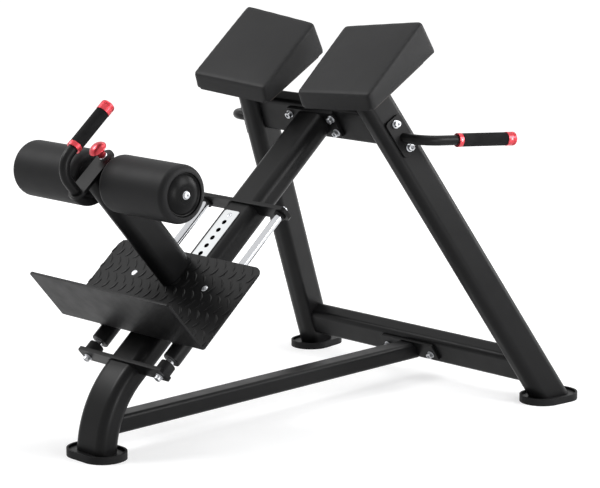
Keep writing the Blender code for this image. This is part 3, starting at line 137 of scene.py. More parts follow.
@dataclass(frozen=True)
class Layout:
    """The bench's reference lines, the same as in its solids."""

    front_foot_y: float = -0.5568
    slope: float = math.radians(40.26)
    knee_height: float = 0.1102
    foot_top: float = 0.0123
    rod_spacing: float = 0.256
    rod_height: float = 0.013
    arm_place: float = 0.3735
    axle_height: float = 0.374

    @property
    def beam(self) -> Matrix:
        """Give the beam's frame: X across, Y up the slope, Z off the beam."""
        knee = Matrix.Translation((0.0, self.front_foot_y, self.knee_height))
        return knee @ Matrix.Rotation(self.slope, 4, "X")

    def up_slope(self, place: float, across: float = 0.0, height: float = 0.0) -> Matrix:
        """Give a frame on the beam whose Z runs up the slope.

        Args:
            place: distance up the slope from the beam's knee.
            across: distance to the user's right.
            height: height above the beam's middle plane.

        Returns:
            The placing matrix, in the bench's axes.
        """
        return self.beam @ facing((0.0, 1.0, 0.0), (across, place, height))

    def rod(self, side: int, place: float = 0.0) -> Matrix:
        """Give a frame on a guide rod's line, Z up the slope."""
        return self.up_slope(place, side * self.rod_spacing / 2.0, self.rod_height)

    def axle(self, side: int) -> Matrix:
        """Give the frame in the middle of the roller axle, Z out to a side."""
        return self.beam @ sideways(side, (0.0, self.arm_place, self.axle_height))


LAYOUT = Layout()


# Finishes

class Graph:
    """The shader nodes of a material or a world while they are wired."""

    def __init__(self, owner: bpy.types.Material | bpy.types.World) -> None:
        """Start on a material or a world."""
        owner.use_nodes = True
        self.tree = owner.node_tree

    def wire(self, node: bpy.types.Node, **values: object) -> bpy.types.Node:
        """Set a node's sockets and options.

        Args:
            node: the node.
            values: socket names, with _ for a space, or option names, to values; another
                node's output is linked.

        Returns:
            The node.
        """
        for key, value in values.items():
            socket = node.inputs.get(key.replace("_", " "))
            if isinstance(value, NodeSocket):
                self.tree.links.new(value, socket)
            elif socket is not None:
                socket.default_value = value
            else:
                setattr(node, key, value)
        return node

    def node(self, kind: str, **values: object) -> bpy.types.Node:
        """Add a shader node by its kind and set it as wire does."""
        return self.wire(self.tree.nodes.new("ShaderNode" + kind), **values)

    def combine(self, kind: str, *sources: NodeSocket, **values: object) -> NodeSocket:
        """Add a node that takes other nodes' outputs in order.

        Args:
            kind: the node's kind.
            sources: what its inputs are linked to.
            values: its options.

        Returns:
            Its first output.
        """
        made = self.node(kind, **values)
        for source, target in zip(sources, made.inputs):
            self.tree.links.new(source, target)
        return made.outputs[0]


@dataclass(frozen=True)
class Finish:
    """One surface finish of the bench.

    Attributes:
        slot: the record's material slot; not used.
        color: base colour.
        roughness: middle roughness.
        scale: features of the relief per metre.
        depth: height of the relief in metres.
        mottle: share by which the colour drifts from place to place.
        metallic: 0 or 1, or between for a dyed metal.
        grain: which fine relief it has.
        streak: how many times finer the relief is across its run than along it.
        specular: level of the clear reflection on a surface that isn't metal.
        wear: share by which the roughness drifts from place to place.
        coat: weight of a clear coat.
    """

    slot: str
    color: Triple
    roughness: float
    scale: float
    depth: float
    mottle: float
    metallic: float = 0.0
    grain: Grain = Grain.RIPPLE
    streak: float = 1.0
    specular: float = 0.25
    wear: float = 0.12
    coat: float = 0.0

    def material(self, name: str) -> bpy.types.Material:
        """Wire the finish's material.

        Args:
            name: the material's name.

        Returns:
            The material.
        """
        material = bpy.data.materials.new(name)
        graph = Graph(material)
        shader = graph.tree.nodes["Principled BSDF"]
        place = self.coordinates(graph)
        graph.wire(shader, Metallic=self.metallic, Specular_IOR_Level=self.specular,
                   Base_Color=self.tint(graph, place), Roughness=self.rub(graph, place),
                   Normal=self.relief(graph, place))
        if self.coat:
            graph.wire(shader, Coat_Weight=self.coat, Coat_Roughness=0.12)
        return material

    def coordinates(self, graph: Graph) -> NodeSocket:
        """Give object coordinates, drawn out along the slope where the relief has a run.

        Args:
            graph: the material's nodes.

        Returns:
            The coordinates.
        """
        source = graph.node("TexCoord").outputs["Object"]
        if self.streak == 1.0:
            return source
        level = graph.node("VectorRotate", rotation_type="X_AXIS", Angle=-LAYOUT.slope,
                           Vector=source)
        drawn = graph.node("Mapping", Scale=(1.0, 1.0 / self.streak, 1.0),
                           Vector=level.outputs["Vector"])
        return drawn.outputs["Vector"]

    def tint(self, graph: Graph, place: NodeSocket) -> NodeSocket:
        """Let the colour drift a little from place to place.

        Args:
            graph: the material's nodes.
            place: the coordinates.

        Returns:
            The colour.
        """
        cloud = graph.node("TexNoise", Scale=9.0, Detail=5.0, Roughness=0.6, Vector=place)
        ramp = graph.node("ValToRGB", Fac=cloud.outputs["Fac"])
        for end, position, share in zip(ramp.color_ramp.elements, (0.3, 0.7),
                                        (1.0 - self.mottle, 1.0 + self.mottle)):
            end.position = position
            end.color = (*[c * share for c in self.color], 1.0)
        return ramp.outputs["Color"]

    def rub(self, graph: Graph, place: NodeSocket) -> NodeSocket:
        """Let the roughness drift a little from place to place.

        Args:
            graph: the material's nodes.
            place: the coordinates.

        Returns:
            The roughness.
        """
        cloud = graph.node("TexNoise", Scale=28.0, Detail=4.0, Vector=place)
        spread = graph.node("MapRange", Value=cloud.outputs["Fac"], From_Min=0.3, From_Max=0.7,
                            To_Min=self.roughness * (1.0 - self.wear),
                            To_Max=min(1.0, self.roughness * (1.0 + self.wear)))
        return spread.outputs["Result"]

    def relief(self, graph: Graph, place: NodeSocket) -> NodeSocket:
        """Give the normal with the fine relief.

        Args:
            graph: the material's nodes.
            place: the coordinates.

        Returns:
            The normal.
        """
        kind, values, output = self.grain.value
        texture = graph.node(kind, Scale=self.scale, Vector=place, **values)
        bump = graph.node("Bump", Strength=0.6, Distance=self.depth,
                          Height=texture.outputs[output])
        return bump.outputs["Normal"]


FINISHES: dict[str, Finish] = {
    "frame_black": Finish("frame_black", (0.0058, 0.0058, 0.0061), 0.38, scale=620.0,
                          depth=0.000025, mottle=0.12, specular=0.13),
    "pad_vinyl": Finish("pad_vinyl", (0.0135, 0.0135, 0.0140), 0.50, scale=780.0,
                        depth=0.00016, mottle=0.06, grain=Grain.LEATHER, specular=0.16,
                        wear=0.04),
    "roller_foam": Finish("roller_foam", (0.0098, 0.0098, 0.0103), 0.54, scale=520.0,
                          depth=0.00006, mottle=0.05, specular=0.13, wear=0.03),
    "grip_foam": Finish("grip_foam", (0.006, 0.006, 0.0064), 0.86, scale=1300.0,
                        depth=0.00020, mottle=0.20, grain=Grain.CELLS, specular=0.15),
    "red_anodised": Finish("red_anodised", (0.60, 0.052, 0.068), 0.32, scale=1500.0,
                           depth=0.000010, mottle=0.06, metallic=0.65, streak=0.2,
                           coat=0.25),
    "chrome": Finish("chrome", (0.60, 0.61, 0.63), 0.12, scale=900.0, depth=0.000003,
                     mottle=0.02, metallic=1.0, streak=40.0),
    "strip_steel": Finish("chrome", (0.78, 0.80, 0.81), 0.17, scale=1200.0, depth=0.000008,
                          mottle=0.04, metallic=1.0, streak=60.0),
    "zinc": Finish("zinc", (0.54, 0.55, 0.57), 0.36, scale=900.0, depth=0.000010,
                   mottle=0.06, metallic=1.0),
    "rubber_black": Finish("rubber_black", (0.006, 0.006, 0.0064), 0.58, scale=420.0,
                           depth=0.00006, mottle=0.15, specular=0.15),
    "plastic_black": Finish("plastic_black", (0.006, 0.006, 0.0064), 0.36, scale=500.0,
                            depth=0.00002, mottle=0.10, specular=0.15),
    # The roller end caps' plastic is a darker, duller copy of plastic_black. Its extra
    # darkness is painted shade, standing in for the shade the caps sit in.
    "shade_darkened_cap_plastic": Finish("plastic_black", (0.0030, 0.0030, 0.0032), 0.34, scale=500.0,
                          depth=0.00002, mottle=0.05, specular=0.08, wear=0.04),
    "plywood": Finish("plywood", (0.050, 0.043, 0.037), 0.72, scale=260.0, depth=0.00010,
                      mottle=0.30, grain=Grain.PLY),
    "spring_steel": Finish("spring_steel", (0.45, 0.45, 0.47), 0.35, scale=800.0,
                           depth=0.00001, mottle=0.08, metallic=1.0),
}


class Palette:
    """The finishes' materials, each made once."""

    made: dict[str, bpy.types.Material] = {}

    @classmethod
    def get(cls, name: str) -> bpy.types.Material:
        """Give a finish's material by name."""
        if name not in cls.made:
            cls.made[name] = FINISHES[name].material(name + "_finish")
        return cls.made[name]


# Forms

def only(parts: Iterable[object], kind: type) -> list:
    """Give the parts that are of one kind."""
    return [part for part in parts if isinstance(part, kind)]


def show(name: str, data: bpy.types.ID) -> bpy.types.Object:
    """Put a new object with some data into the scene."""
    item = bpy.data.objects.new(name, data)
    bpy.context.scene.collection.objects.link(item)
    return item


def settle(item: bpy.types.Object) -> None:
    """Apply an object's modifiers to its mesh.

    Args:
        item: the object.
    """
    bpy.context.view_layer.update()
    graph = bpy.context.evaluated_depsgraph_get()
    mesh = bpy.data.meshes.new_from_object(item.evaluated_get(graph))
    item.modifiers.clear()
    item.data = mesh


class Form:
    """A piece's mesh while it is shaped."""

    def __init__(self) -> None:
        """Start with nothing."""
        self.work = bmesh.new()

    def panel(self, corners: Iterable[Point], radius: float = 0.0, steps: int = 1) -> Form:
        """Lay a flat face from its corners.

        Args:
            corners: the corners, counter-clockwise.
            radius: how far along its edges each corner's rounding starts.
            steps: segments of a rounded corner.

        Returns:
            The form itself.
        """
        verts = [self.work.verts.new((x, y, 0.0)) for x, y in corners]
        self.work.faces.new(verts)
        return self.bevel(verts, radius, steps, "VERTICES") if radius else self

    def rectangle(self, width: float, height: float, radius: float, steps: int) -> Form:
        """Lay a flat rectangle about the origin, with its corners rounded."""
        x, y = width / 2.0, height / 2.0
        return self.panel([(-x, -y), (x, -y), (x, y), (-x, y)], radius, steps)

    def outline(self, width: float, height: float, radius: float, steps: int) -> Form:
        """Lay a bare rounded rectangle about the origin."""
        self.rectangle(width, height, radius, steps)
        bmesh.ops.delete(self.work, geom=self.work.faces[:], context="FACES_ONLY")
        return self

    def circle(self, steps: int, radius: float, filled: bool = True) -> Form:
        """Lay a circle about the origin, filled or bare."""
        bmesh.ops.create_circle(self.work, cap_ends=filled, segments=steps, radius=radius)
        return self

    def lift(self, made: dict[str, list], step: Sequence[float]) -> list[BMVert]:
        """Move what an operation made by a step and give its points."""
        verts = only(made["geom"], BMVert)
        bmesh.ops.translate(self.work, verts=verts, vec=step)
        return verts

    def thicken(self, height: float) -> Form:
        """Give the flat face a thickness along Z, from 0."""
        made = bmesh.ops.extrude_face_region(self.work, geom=self.work.faces[:])
        self.lift(made, (0.0, 0.0, height))
        return self.outward()

    def merge(self) -> Form:
        """Merge points that lie together."""
        bmesh.ops.remove_doubles(self.work, verts=self.work.verts, dist=MERGE)
        return self

    def outward(self) -> Form:
        """Merge doubles and turn every face outward."""
        bmesh.ops.recalc_face_normals(self.merge().work, faces=self.work.faces)
        return self

    def bevel(self, geom: list, size: float, steps: int, affect: str) -> Form:
        """Round corners or edges.

        Args:
            geom: the points or the edges.
            size: width of the rounding on each face.
            steps: segments of the rounding.
            affect: VERTICES or EDGES.

        Returns:
            The form itself.
        """
        bmesh.ops.bevel(self.work, geom=geom, offset=size, offset_type="OFFSET",
                        segments=steps, profile=0.5, affect=affect, material=-1,
                        clamp_overlap=True)
        return self

    def soften(self, size: float, steps: int = 2, angle: float = 50.0) -> Form:
        """Round the edges that are sharper than an angle.

        Args:
            size: width of the rounding on each face.
            steps: segments of the rounding.
            angle: least angle between faces, in degrees.

        Returns:
            The form itself.
        """
        least = math.radians(angle)
        edges = [edge for edge in self.work.edges
                 if len(edge.link_faces) == 2 and edge.calc_face_angle(0.0) > least]
        return self.bevel(edges, size, steps, "EDGES")

    def spin(self, edges: list[BMEdge], center: Sequence[float], axis: Sequence[float],
             angle: float, steps: int, merge: bool = False) -> list[BMEdge]:
        """Draw edges round an axis.

        Args:
            edges: the edges.
            center: a point on the axis.
            axis: the axis's direction.
            angle: how far they turn.
            steps: in how many steps.
            merge: whether the last step joins the first.

        Returns:
            The edges at the far end.
        """
        verts = list(dict.fromkeys(vert for edge in edges for vert in edge.verts))
        made = bmesh.ops.spin(self.work, geom=verts + edges, cent=center, axis=axis,
                              angle=angle, steps=steps, use_merge=merge)
        return only(made["geom_last"], BMEdge)

    def lathe(self, profile: Sequence[Point], steps: int) -> Form:
        """Turn a profile of radius and height about Z.

        Args:
            profile: the points, down the outer side; where they start off the axis, the
                last one joins the first.
            steps: how many steps make the full turn.

        Returns:
            The form itself.
        """
        verts = [self.work.verts.new((radius, 0.0, height)) for radius, height in profile]
        after = verts[1:] + (verts[:1] if profile[0][0] > 0.0 else [])
        edges = [self.work.edges.new(pair) for pair in zip(verts, after)]
        self.spin(edges, (0.0, 0.0, 0.0), (0.0, 0.0, 1.0), 2.0 * math.pi, steps, True)
        return self.outward()

    def bend(self, first: float, radius: float, angle: float, ahead: float,
             steps: int) -> Form:
        """Draw the bare outline up Z, round a bend towards +Y and on.

        Args:
            first: length of the first straight.
            radius: the bend's middle radius.
            angle: the bend's angle.
            ahead: length of the second straight.
            steps: steps of the bend.

        Returns:
            The form itself.
        """
        edges = self.pull(self.work.edges[:], Vector((0.0, 0.0, first)))
        last = self.spin(edges, (0.0, radius, first), (-1.0, 0.0, 0.0), angle, steps)
        self.pull(last, Vector((0.0, math.sin(angle), math.cos(angle))) * ahead)
        return self.close()

    def pull(self, edges: list[BMEdge], step: Vector) -> list[BMEdge]:
        """Draw edges out by a step and give the new ones.

        Args:
            edges: the edges.
            step: how far and where to.

        Returns:
            The new edges.
        """
        made = bmesh.ops.extrude_edge_only(self.work, edges=edges)
        verts = self.lift(made, step)
        return [edge for edge in only(made["geom"], BMEdge)
                if all(vert in verts for vert in edge.verts)]

    def close(self) -> Form:
        """Fill open ends."""
        edges = [edge for edge in self.work.edges if len(edge.link_faces) == 1]
        if edges:
            bmesh.ops.holes_fill(self.work, edges=edges, sides=0)
        return self.outward()

    def tube(self, width: float, height: float, radius: float, low: float,
             high: float) -> Form:
        """Make a straight closed bar along Z, with rounded long edges.

        Args:
            width: its size along X.
            height: its size along Y.
            radius: radius of the long edges.
            low: height of its lower end.
            high: height of its upper end.

        Returns:
            The form itself.
        """
        flat = 0.0001
        radius = min(radius, width / 2.0 - flat, height / 2.0 - flat)
        return self.rectangle(width, height, radius, 12).thicken(high - low).place(
            shift(0.0, 0.0, low))

    def slab(self, width: float, length: float, radius: float, steps: int,
             thickness: float, edge: float = PLATE_EDGE) -> Form:
        """Make a flat plate with rounded corners, standing on Z = 0, its edges eased."""
        return self.rectangle(width, length, radius, steps).thicken(thickness).soften(edge)

    def trim(self, point: Sequence[float], normal: Sequence[float]) -> Form:
        """Cut off what lies beyond a plane, and close the cut.

        Args:
            point: a point on the plane.
            normal: the side that is cut off.

        Returns:
            The form itself.
        """
        geom = self.work.verts[:] + self.work.edges[:] + self.work.faces[:]
        bmesh.ops.bisect_plane(self.work, geom=geom, dist=0.0000005, plane_co=point,
                               plane_no=normal, clear_outer=True, clear_inner=False)
        return self.close()

    def level(self, frame: Matrix, height: float, way: float = -1.0) -> Form:
        """Cut off what lies below a height in a frame, or above it where way is 1."""
        normal = frame.to_3x3() @ Vector((0.0, 0.0, way))
        return self.trim(frame @ Vector((0.0, 0.0, height)), normal)

    def place(self, matrix: Matrix) -> Form:
        """Move the form by a matrix."""
        bmesh.ops.transform(self.work, matrix=matrix, verts=self.work.verts)
        return self

    def mesh(self, name: str) -> bpy.types.Mesh:
        """Turn the form into a mesh.

        Args:
            name: the mesh's name.

        Returns:
            The mesh.
        """
        mesh = bpy.data.meshes.new(name)
        self.work.to_mesh(mesh)
        self.work.free()
        return mesh

    def join(self, other: Form) -> Form:
        """Take in another form.

        Args:
            other: the other form, which is used up.

        Returns:
            The form itself.
        """
        mesh = other.mesh("joined")
        self.work.from_mesh(mesh)
        bpy.data.meshes.remove(mesh)
        return self

    def carve(self, cutter: Form) -> Form:
        """Cut another form out of this one.

        Args:
            cutter: the other form, which is used up.

        Returns:
            The form itself.
        """
        body, tool = self.link("carved"), cutter.link("carver")
        cut = body.modifiers.new("carve", "BOOLEAN")
        cut.operation = "DIFFERENCE"
        cut.object = tool
        settle(body)
        self.work = bmesh.new()
        self.work.from_mesh(body.data)
        for item in (body, tool):
            bpy.data.objects.remove(item, do_unlink=True)
        return self.merge()

    def link(self, name: str) -> bpy.types.Object:
        """Turn the form into a linked object."""
        return show(name, self.mesh(name))

    def finish(self, name: str, finish: str, body: Body, *nodes: str) -> bpy.types.Object:
        """Turn the form into a dressed piece, as dress does."""
        return dress(self.link(name), finish, body, *nodes)

    def stand(self, node: str, part: str, finish: str = "frame_black",
              body: Body = Body.FRAME, sharp: float = 32.0) -> bpy.types.Object:
        """Turn the form into a dressed piece that stands for one solid.

        Args:
            node: the solid's name, with which the piece's name starts.
            part: the end of the piece's name.
            finish: a name in FINISHES.
            body: the body that it moves with.
            sharp: the angle in degrees past which an edge stays sharp.

        Returns:
            The piece's object.
        """
        return dress(self.link(f"{node}_{part}"), finish, body, node, sharp=sharp)


def dress(item: bpy.types.Object, finish: str, body: Body, *nodes: str,
          sharp: float = 32.0) -> bpy.types.Object:
    """Shade a piece, give it its finish and let it ride.

    Args:
        item: the piece.
        finish: a name in FINISHES.
        body: the body that it moves with.
        nodes: the solids that it stands for.
        sharp: the angle in degrees past which an edge stays sharp.

    Returns:
        The piece.
    """
    mesh = item.data
    mesh.materials.clear()
    mesh.materials.append(Palette.get(finish))
    mesh.shade_smooth()
    mesh.set_sharp_from_angle(angle=math.radians(sharp))
    weigh = item.modifiers.new("weigh", "WEIGHTED_NORMAL")
    weigh.keep_sharp = True
    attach(item, body.value)
    if nodes:
        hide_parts(*nodes)
    LOG.info("%s rides on %s: %d faces", item.name, body.value, len(mesh.polygons))
    return item


# Turned profiles and fasteners

def chamfer(size: float) -> Sequence[Point]:
    """Give a plain chamfered rim."""
    return (size, 0.0), (0.0, size)


def eased(size: float, inset: float, drop: float) -> Sequence[Point]:
    """Give a rounded rim of three points: the middle one is inset and dropped."""
    return (size, 0.0), (inset, drop), (0.0, size)


def turned(bore: float, outer: float, low: float, high: float, rim: Sequence[Point],
           mouth: float = 0.0) -> list[Point]:
    """Give the profile of a turned rod or ring with the same rim at both ends.

    Args:
        bore: the inner radius, 0 for a rod.
        outer: the outer radius.
        low: height of the lower end.
        high: height of the upper end.
        rim: the rim's points, as distances in from the outer face and from the end.
        mouth: size of the chamfer at the bore's ends.

    Returns:
        The profile, from the upper end down the outer side.
    """
    end = [(bore, mouth), (bore + mouth, 0.0)] if mouth else [(bore, 0.0)]
    end += [(outer - inset, drop) for inset, drop in rim]
    return ([(radius, high - drop) for radius, drop in end]
            + [(radius, low + drop) for radius, drop in reversed(end)])


def hexagon(width: float, low: float, depth: float) -> Form:
    """Make the cutter of a hexagon socket, by its width across flats."""
    cutter = Form().circle(6, width / 2.0 / math.cos(math.pi / 6.0)).thicken(depth)
    return cutter.place(shift(0.0, 0.0, low))


@dataclass(frozen=True)
class CapBolt:
    """A socket-head bolt on a washer, standing along +Z from the face at Z = 0."""

    head_diameter: float = 0.0160
    head_height: float = 0.0095
    socket: float = 0.0080
    socket_depth: float = 0.0050
    washer_diameter: float = 0.0200
    washer_thickness: float = 0.0020
    shank_diameter: float = 0.0096
    shank_length: float = 0.0120

    def form(self) -> Form:
        """Build the bolt, its socket sunk as a hexagon."""
        head = self.head_diameter / 2.0
        low = self.washer_thickness
        top = low + self.head_height
        shank = self.shank_diameter / 2.0
        bolt = Form().lathe([(0.0, top), (head - 0.0012, top), (head - 0.0003, top - 0.0004),
                             (head, top - 0.0012), (head, low + 0.0005), (head - 0.0005, low),
                             (shank, low), (shank, -self.shank_length),
                             (0.0, -self.shank_length)], 32)
        bolt.carve(hexagon(self.socket, top - self.socket_depth, self.socket_depth + 0.002))
        washer = turned(shank + 0.0004, self.washer_diameter / 2.0, 0.0, low, chamfer(0.0005))
        return bolt.join(Form().lathe(washer, 40))

    def row(self, name: str, seats: Iterable[Matrix]) -> None:
        """Put a numbered bolt on each seat, Z off the face."""
        for number, seat in enumerate(seats, 1):
            self.form().place(seat).finish(f"{name}_{number}", "zinc", Body.FRAME)


@dataclass(frozen=True)
class FlatScrew:
    """A countersunk screw, flush at Z = 0, with a hexagon socket."""

    shank: float
    head: float
    head_height: float
    reach: float
    socket: float
    socket_depth: float = 0.0026

    def form(self) -> Form:
        """Build the screw."""
        outer, shank = self.head / 2.0, self.shank / 2.0
        screw = Form().lathe([(0.0, 0.0), (outer - 0.0003, 0.0), (outer, -0.0003),
                              (outer, -0.0006), (shank, -self.head_height),
                              (shank, -self.reach), (0.0, -self.reach)], 40)
        return screw.carve(hexagon(self.socket, -self.socket_depth, 0.006))


@dataclass(frozen=True)
class PinHoles:
    """The row of holes for the pull pin, through the strip and into the beam."""

    first: float = 0.5545
    pitch: float = 0.025
    count: int = 7
    radius: float = 0.0067

    @property
    def last(self) -> float:
        """Give the place of the lowest hole along the slope."""
        return self.first - (self.count - 1) * self.pitch

    def drills(self, low: float, high: float) -> Form:
        """Make the row of drills, in the beam's frame.

        Args:
            low: height of their lower ends.
            high: height of their upper ends.

        Returns:
            The drills as one form.
        """
        drills = Form()
        for number in range(self.count):
            drill = Form().circle(32, self.radius).thicken(high - low)
            drills.join(drill.place(shift(0.0, self.first - self.pitch * number, low)))
        return drills


# Main frame

@dataclass(frozen=True)
class RearLeg:
    """One rear leg's line and section."""

    side: int
    foot_x: float = 0.4145
    foot_y: float = 1.1205
    lean: float = 0.56
    splay: float = 0.27
    twist: float = math.radians(17.2)
    width: float = 0.090
    depth: float = 0.056
    radius: float = 0.023

    @property
    def foot(self) -> Vector:
        """Give the point where the leg meets its foot plate."""
        return Vector((self.side * self.foot_x, LAYOUT.front_foot_y + self.foot_y,
                       LAYOUT.foot_top))

    @property
    def along(self) -> Vector:
        """Give the direction up the leg."""
        return Vector((-self.side * self.splay, -self.lean, 1.0)).normalized()

    @property
    def normal(self) -> Vector:
        """Give the direction out of the leg's wide outer face."""
        normal = self.along.cross(Vector((0.0, 0.0, 1.0))).normalized()
        if normal.x * self.side < 0.0:
            normal = -normal
        return Matrix.Rotation(self.side * self.twist, 3, self.along) @ normal

    def build(self, word: str) -> None:
        """Build and dress the leg, cut level at its foot and square under its pad.

        Args:
            word: left or right.
        """
        frame = facing(self.along, self.foot, self.normal)
        tube = Form().tube(self.depth, self.width, self.radius, -0.15, 1.05).place(frame)
        pad = HipPad(self.side)
        tube.level(Matrix.Identity(4), LAYOUT.foot_top + GAP)
        tube.level(pad.frame, -pad.stack - GAP, 1.0)
        tube.stand(f"rear_leg_{word}", "tube")


@dataclass(frozen=True)
class CrossTube:
    """A tube between the legs that leans as they do, with a bolted flange on its front.

    Attributes:
        y: how far its middle stands behind the front foot.
        z: its middle's height.
        height: its section's height.
        depth: its section's depth.
        radius: radius of its long edges.
        corners: the flange's outline.
        rounding: radius and segments of the flange's corners.
        thickness: the flange's thickness.
        bolts: middles of the flange's bolts.
    """

    y: float
    z: float
    height: float
    depth: float
    radius: float
    corners: Sequence[Point]
    rounding: tuple[float, int]
    thickness: float
    bolts: Sequence[Point]

    @property
    def middle(self) -> Matrix:
        """Give the frame in the tube's middle, leaning as the legs do."""
        place = shift(0.0, LAYOUT.front_foot_y + self.y, self.z)
        return place @ Matrix.Rotation(math.atan(RearLeg.lean), 4, "X")

    @property
    def front(self) -> Matrix:
        """Give the frame on the front face, Z out of it."""
        return self.middle @ facing((0.0, -1.0, 0.0), (0.0, -self.depth / 2.0 - GAP, 0.0))

    def build(self, node: str, flange: str, bolts: str) -> None:
        """Build and dress the tube, its flange and the bolts.

        Args:
            node: the tube's solid.
            flange: the flange's solid.
            bolts: the bolts' common name.
        """
        half = RearLeg.foot_x - RearLeg.splay * (self.z - LAYOUT.foot_top)
        tube = Form().tube(self.depth, self.height, self.radius, -half, half)
        tube.place(self.middle @ sideways(1)).stand(node, "bar")
        plate = Form().panel(self.corners, *self.rounding).thicken(self.thickness)
        plate.soften(PLATE_EDGE).place(self.front).stand(flange, "plate")
        CapBolt().row(bolts, [self.front @ shift(x, y, self.thickness)
                              for x, y in self.bolts])

    def end_on(self, form: Form) -> Form:
        """Cut a tube off on the flange's outer face."""
        return form.level(self.front, self.thickness + GAP)


@dataclass
class MainFrame:
    """The welded and bolted tube frame with its feet."""

    beam_width: float = 0.101
    beam_depth: float = 0.060
    radius: float = 0.023
    bend_radius: float = 0.240
    rail_z: float = 0.0685
    foot_length: float = 0.159
    foot_width: float = 0.109
    upper: CrossTube = CrossTube(
        0.7327, 0.7162, 0.100, 0.050, 0.0125,
        ((-0.0845, -0.034), (0.0845, -0.034), (0.0815, 0.040), (-0.0815, 0.040)), (0.009, 6),
        0.010, ((-0.072, 0.023), (0.072, 0.023), (-0.072, -0.0165), (0.072, -0.0165)))
    lower: CrossTube = CrossTube(
        1.0802, 0.0868, 0.082, 0.050, 0.0145,
        ((-0.0985, -0.0212), (0.0985, -0.0212), (0.0905, 0.0268), (-0.0905, 0.0268)),
        (0.005, 4), 0.008, ((-0.0765, -0.0033), (0.0765, -0.0033)))

    def build(self) -> None:
        """Build and dress every piece of the frame."""
        self.beam()
        self.upper.build("upper_cross_tube", "beam_head_flange", "head_bolt")
        for side, word in SIDES:
            RearLeg(side).build(word)
        self.lower.build("lower_cross_tube", "rail_flange", "rail_bolt")
        self.rail()
        self.feet()

    def beam(self) -> None:
        """Bend the main beam from its foot to the head flange."""
        angle = QUARTER - LAYOUT.slope
        start = LAYOUT.knee_height - self.bend_radius * math.tan(angle / 2.0)
        below, ahead = 0.05, 1.2
        form = Form().outline(self.beam_width, self.beam_depth, self.radius, 12)
        form.bend(below, self.bend_radius, angle, ahead, 32)
        form.place(shift(0.0, LAYOUT.front_foot_y, start - below))
        form.level(Matrix.Identity(4), LAYOUT.foot_top + GAP)
        self.upper.end_on(form).carve(PinHoles().drills(0.008, 0.034).place(LAYOUT.beam))
        form.stand("main_beam", "tube")

    def rail(self) -> None:
        """Make the bottom rail, from the beam's foot to its flange."""
        rail = Form().tube(0.054, 0.043, 0.010, LAYOUT.front_foot_y + 0.02,
                           LAYOUT.front_foot_y + self.lower.y)
        rail.place(facing((0.0, 1.0, 0.0), (0.0, 0.0, self.rail_z)))
        self.lower.end_on(rail).stand("bottom_rail", "tube")

    def feet(self) -> None:
        """Make the rubber caps and the foot plates in them."""
        places = [("front", shift(0.0, LAYOUT.front_foot_y, 0.0))]
        for side, word in SIDES:
            foot = RearLeg(side).foot
            turn = rotation(90.0 - 7.0 * side, "Z")
            places.append((f"rear_{word}", shift(foot.x, foot.y, 0.0) @ turn))
        for word, frame in places:
            self.foot_cap().place(frame).finish(f"{word}_foot_rubber", "rubber_black",
                                                Body.FRAME, f"{word}_foot_cap")
            inset = 0.0053
            plate = Form().slab(self.foot_length - 2.0 * inset, self.foot_width - 2.0 * inset,
                                self.foot_width / 2.0 - inset - 0.0001, 20, 0.006, 0.0008)
            plate.place(frame @ shift(0.0, 0.0, 0.0063)).finish(
                f"{word}_foot_steel", "frame_black", Body.FRAME, f"{word}_foot_plate")

    def foot_cap(self) -> Form:
        """Make a rubber foot cap: a tray with a rolled rim."""
        height, rim, sunk = 0.0175, 0.005, 0.0115
        cap = Form().rectangle(self.foot_length, self.foot_width,
                               self.foot_width / 2.0 - 0.0001, 20).thicken(height)

        def top() -> list[BMFace]:
            """Give the faces of the top."""
            return [face for face in cap.work.faces if face.normal.z > 0.9
                    and face.calc_center_median().z > height - 0.0005]

        made = bmesh.ops.inset_region(cap.work, faces=top(), thickness=rim,
                                      use_even_offset=True)
        floor = [face for face in top() if face not in made["faces"]]
        cap.lift(bmesh.ops.extrude_face_region(cap.work, geom=floor), (0.0, 0.0, -sunk))
        bmesh.ops.delete(cap.work, geom=[face for face in floor if face.is_valid],
                         context="FACES_ONLY")
        return cap.outward().soften(0.0015, 3)


# Guide rods

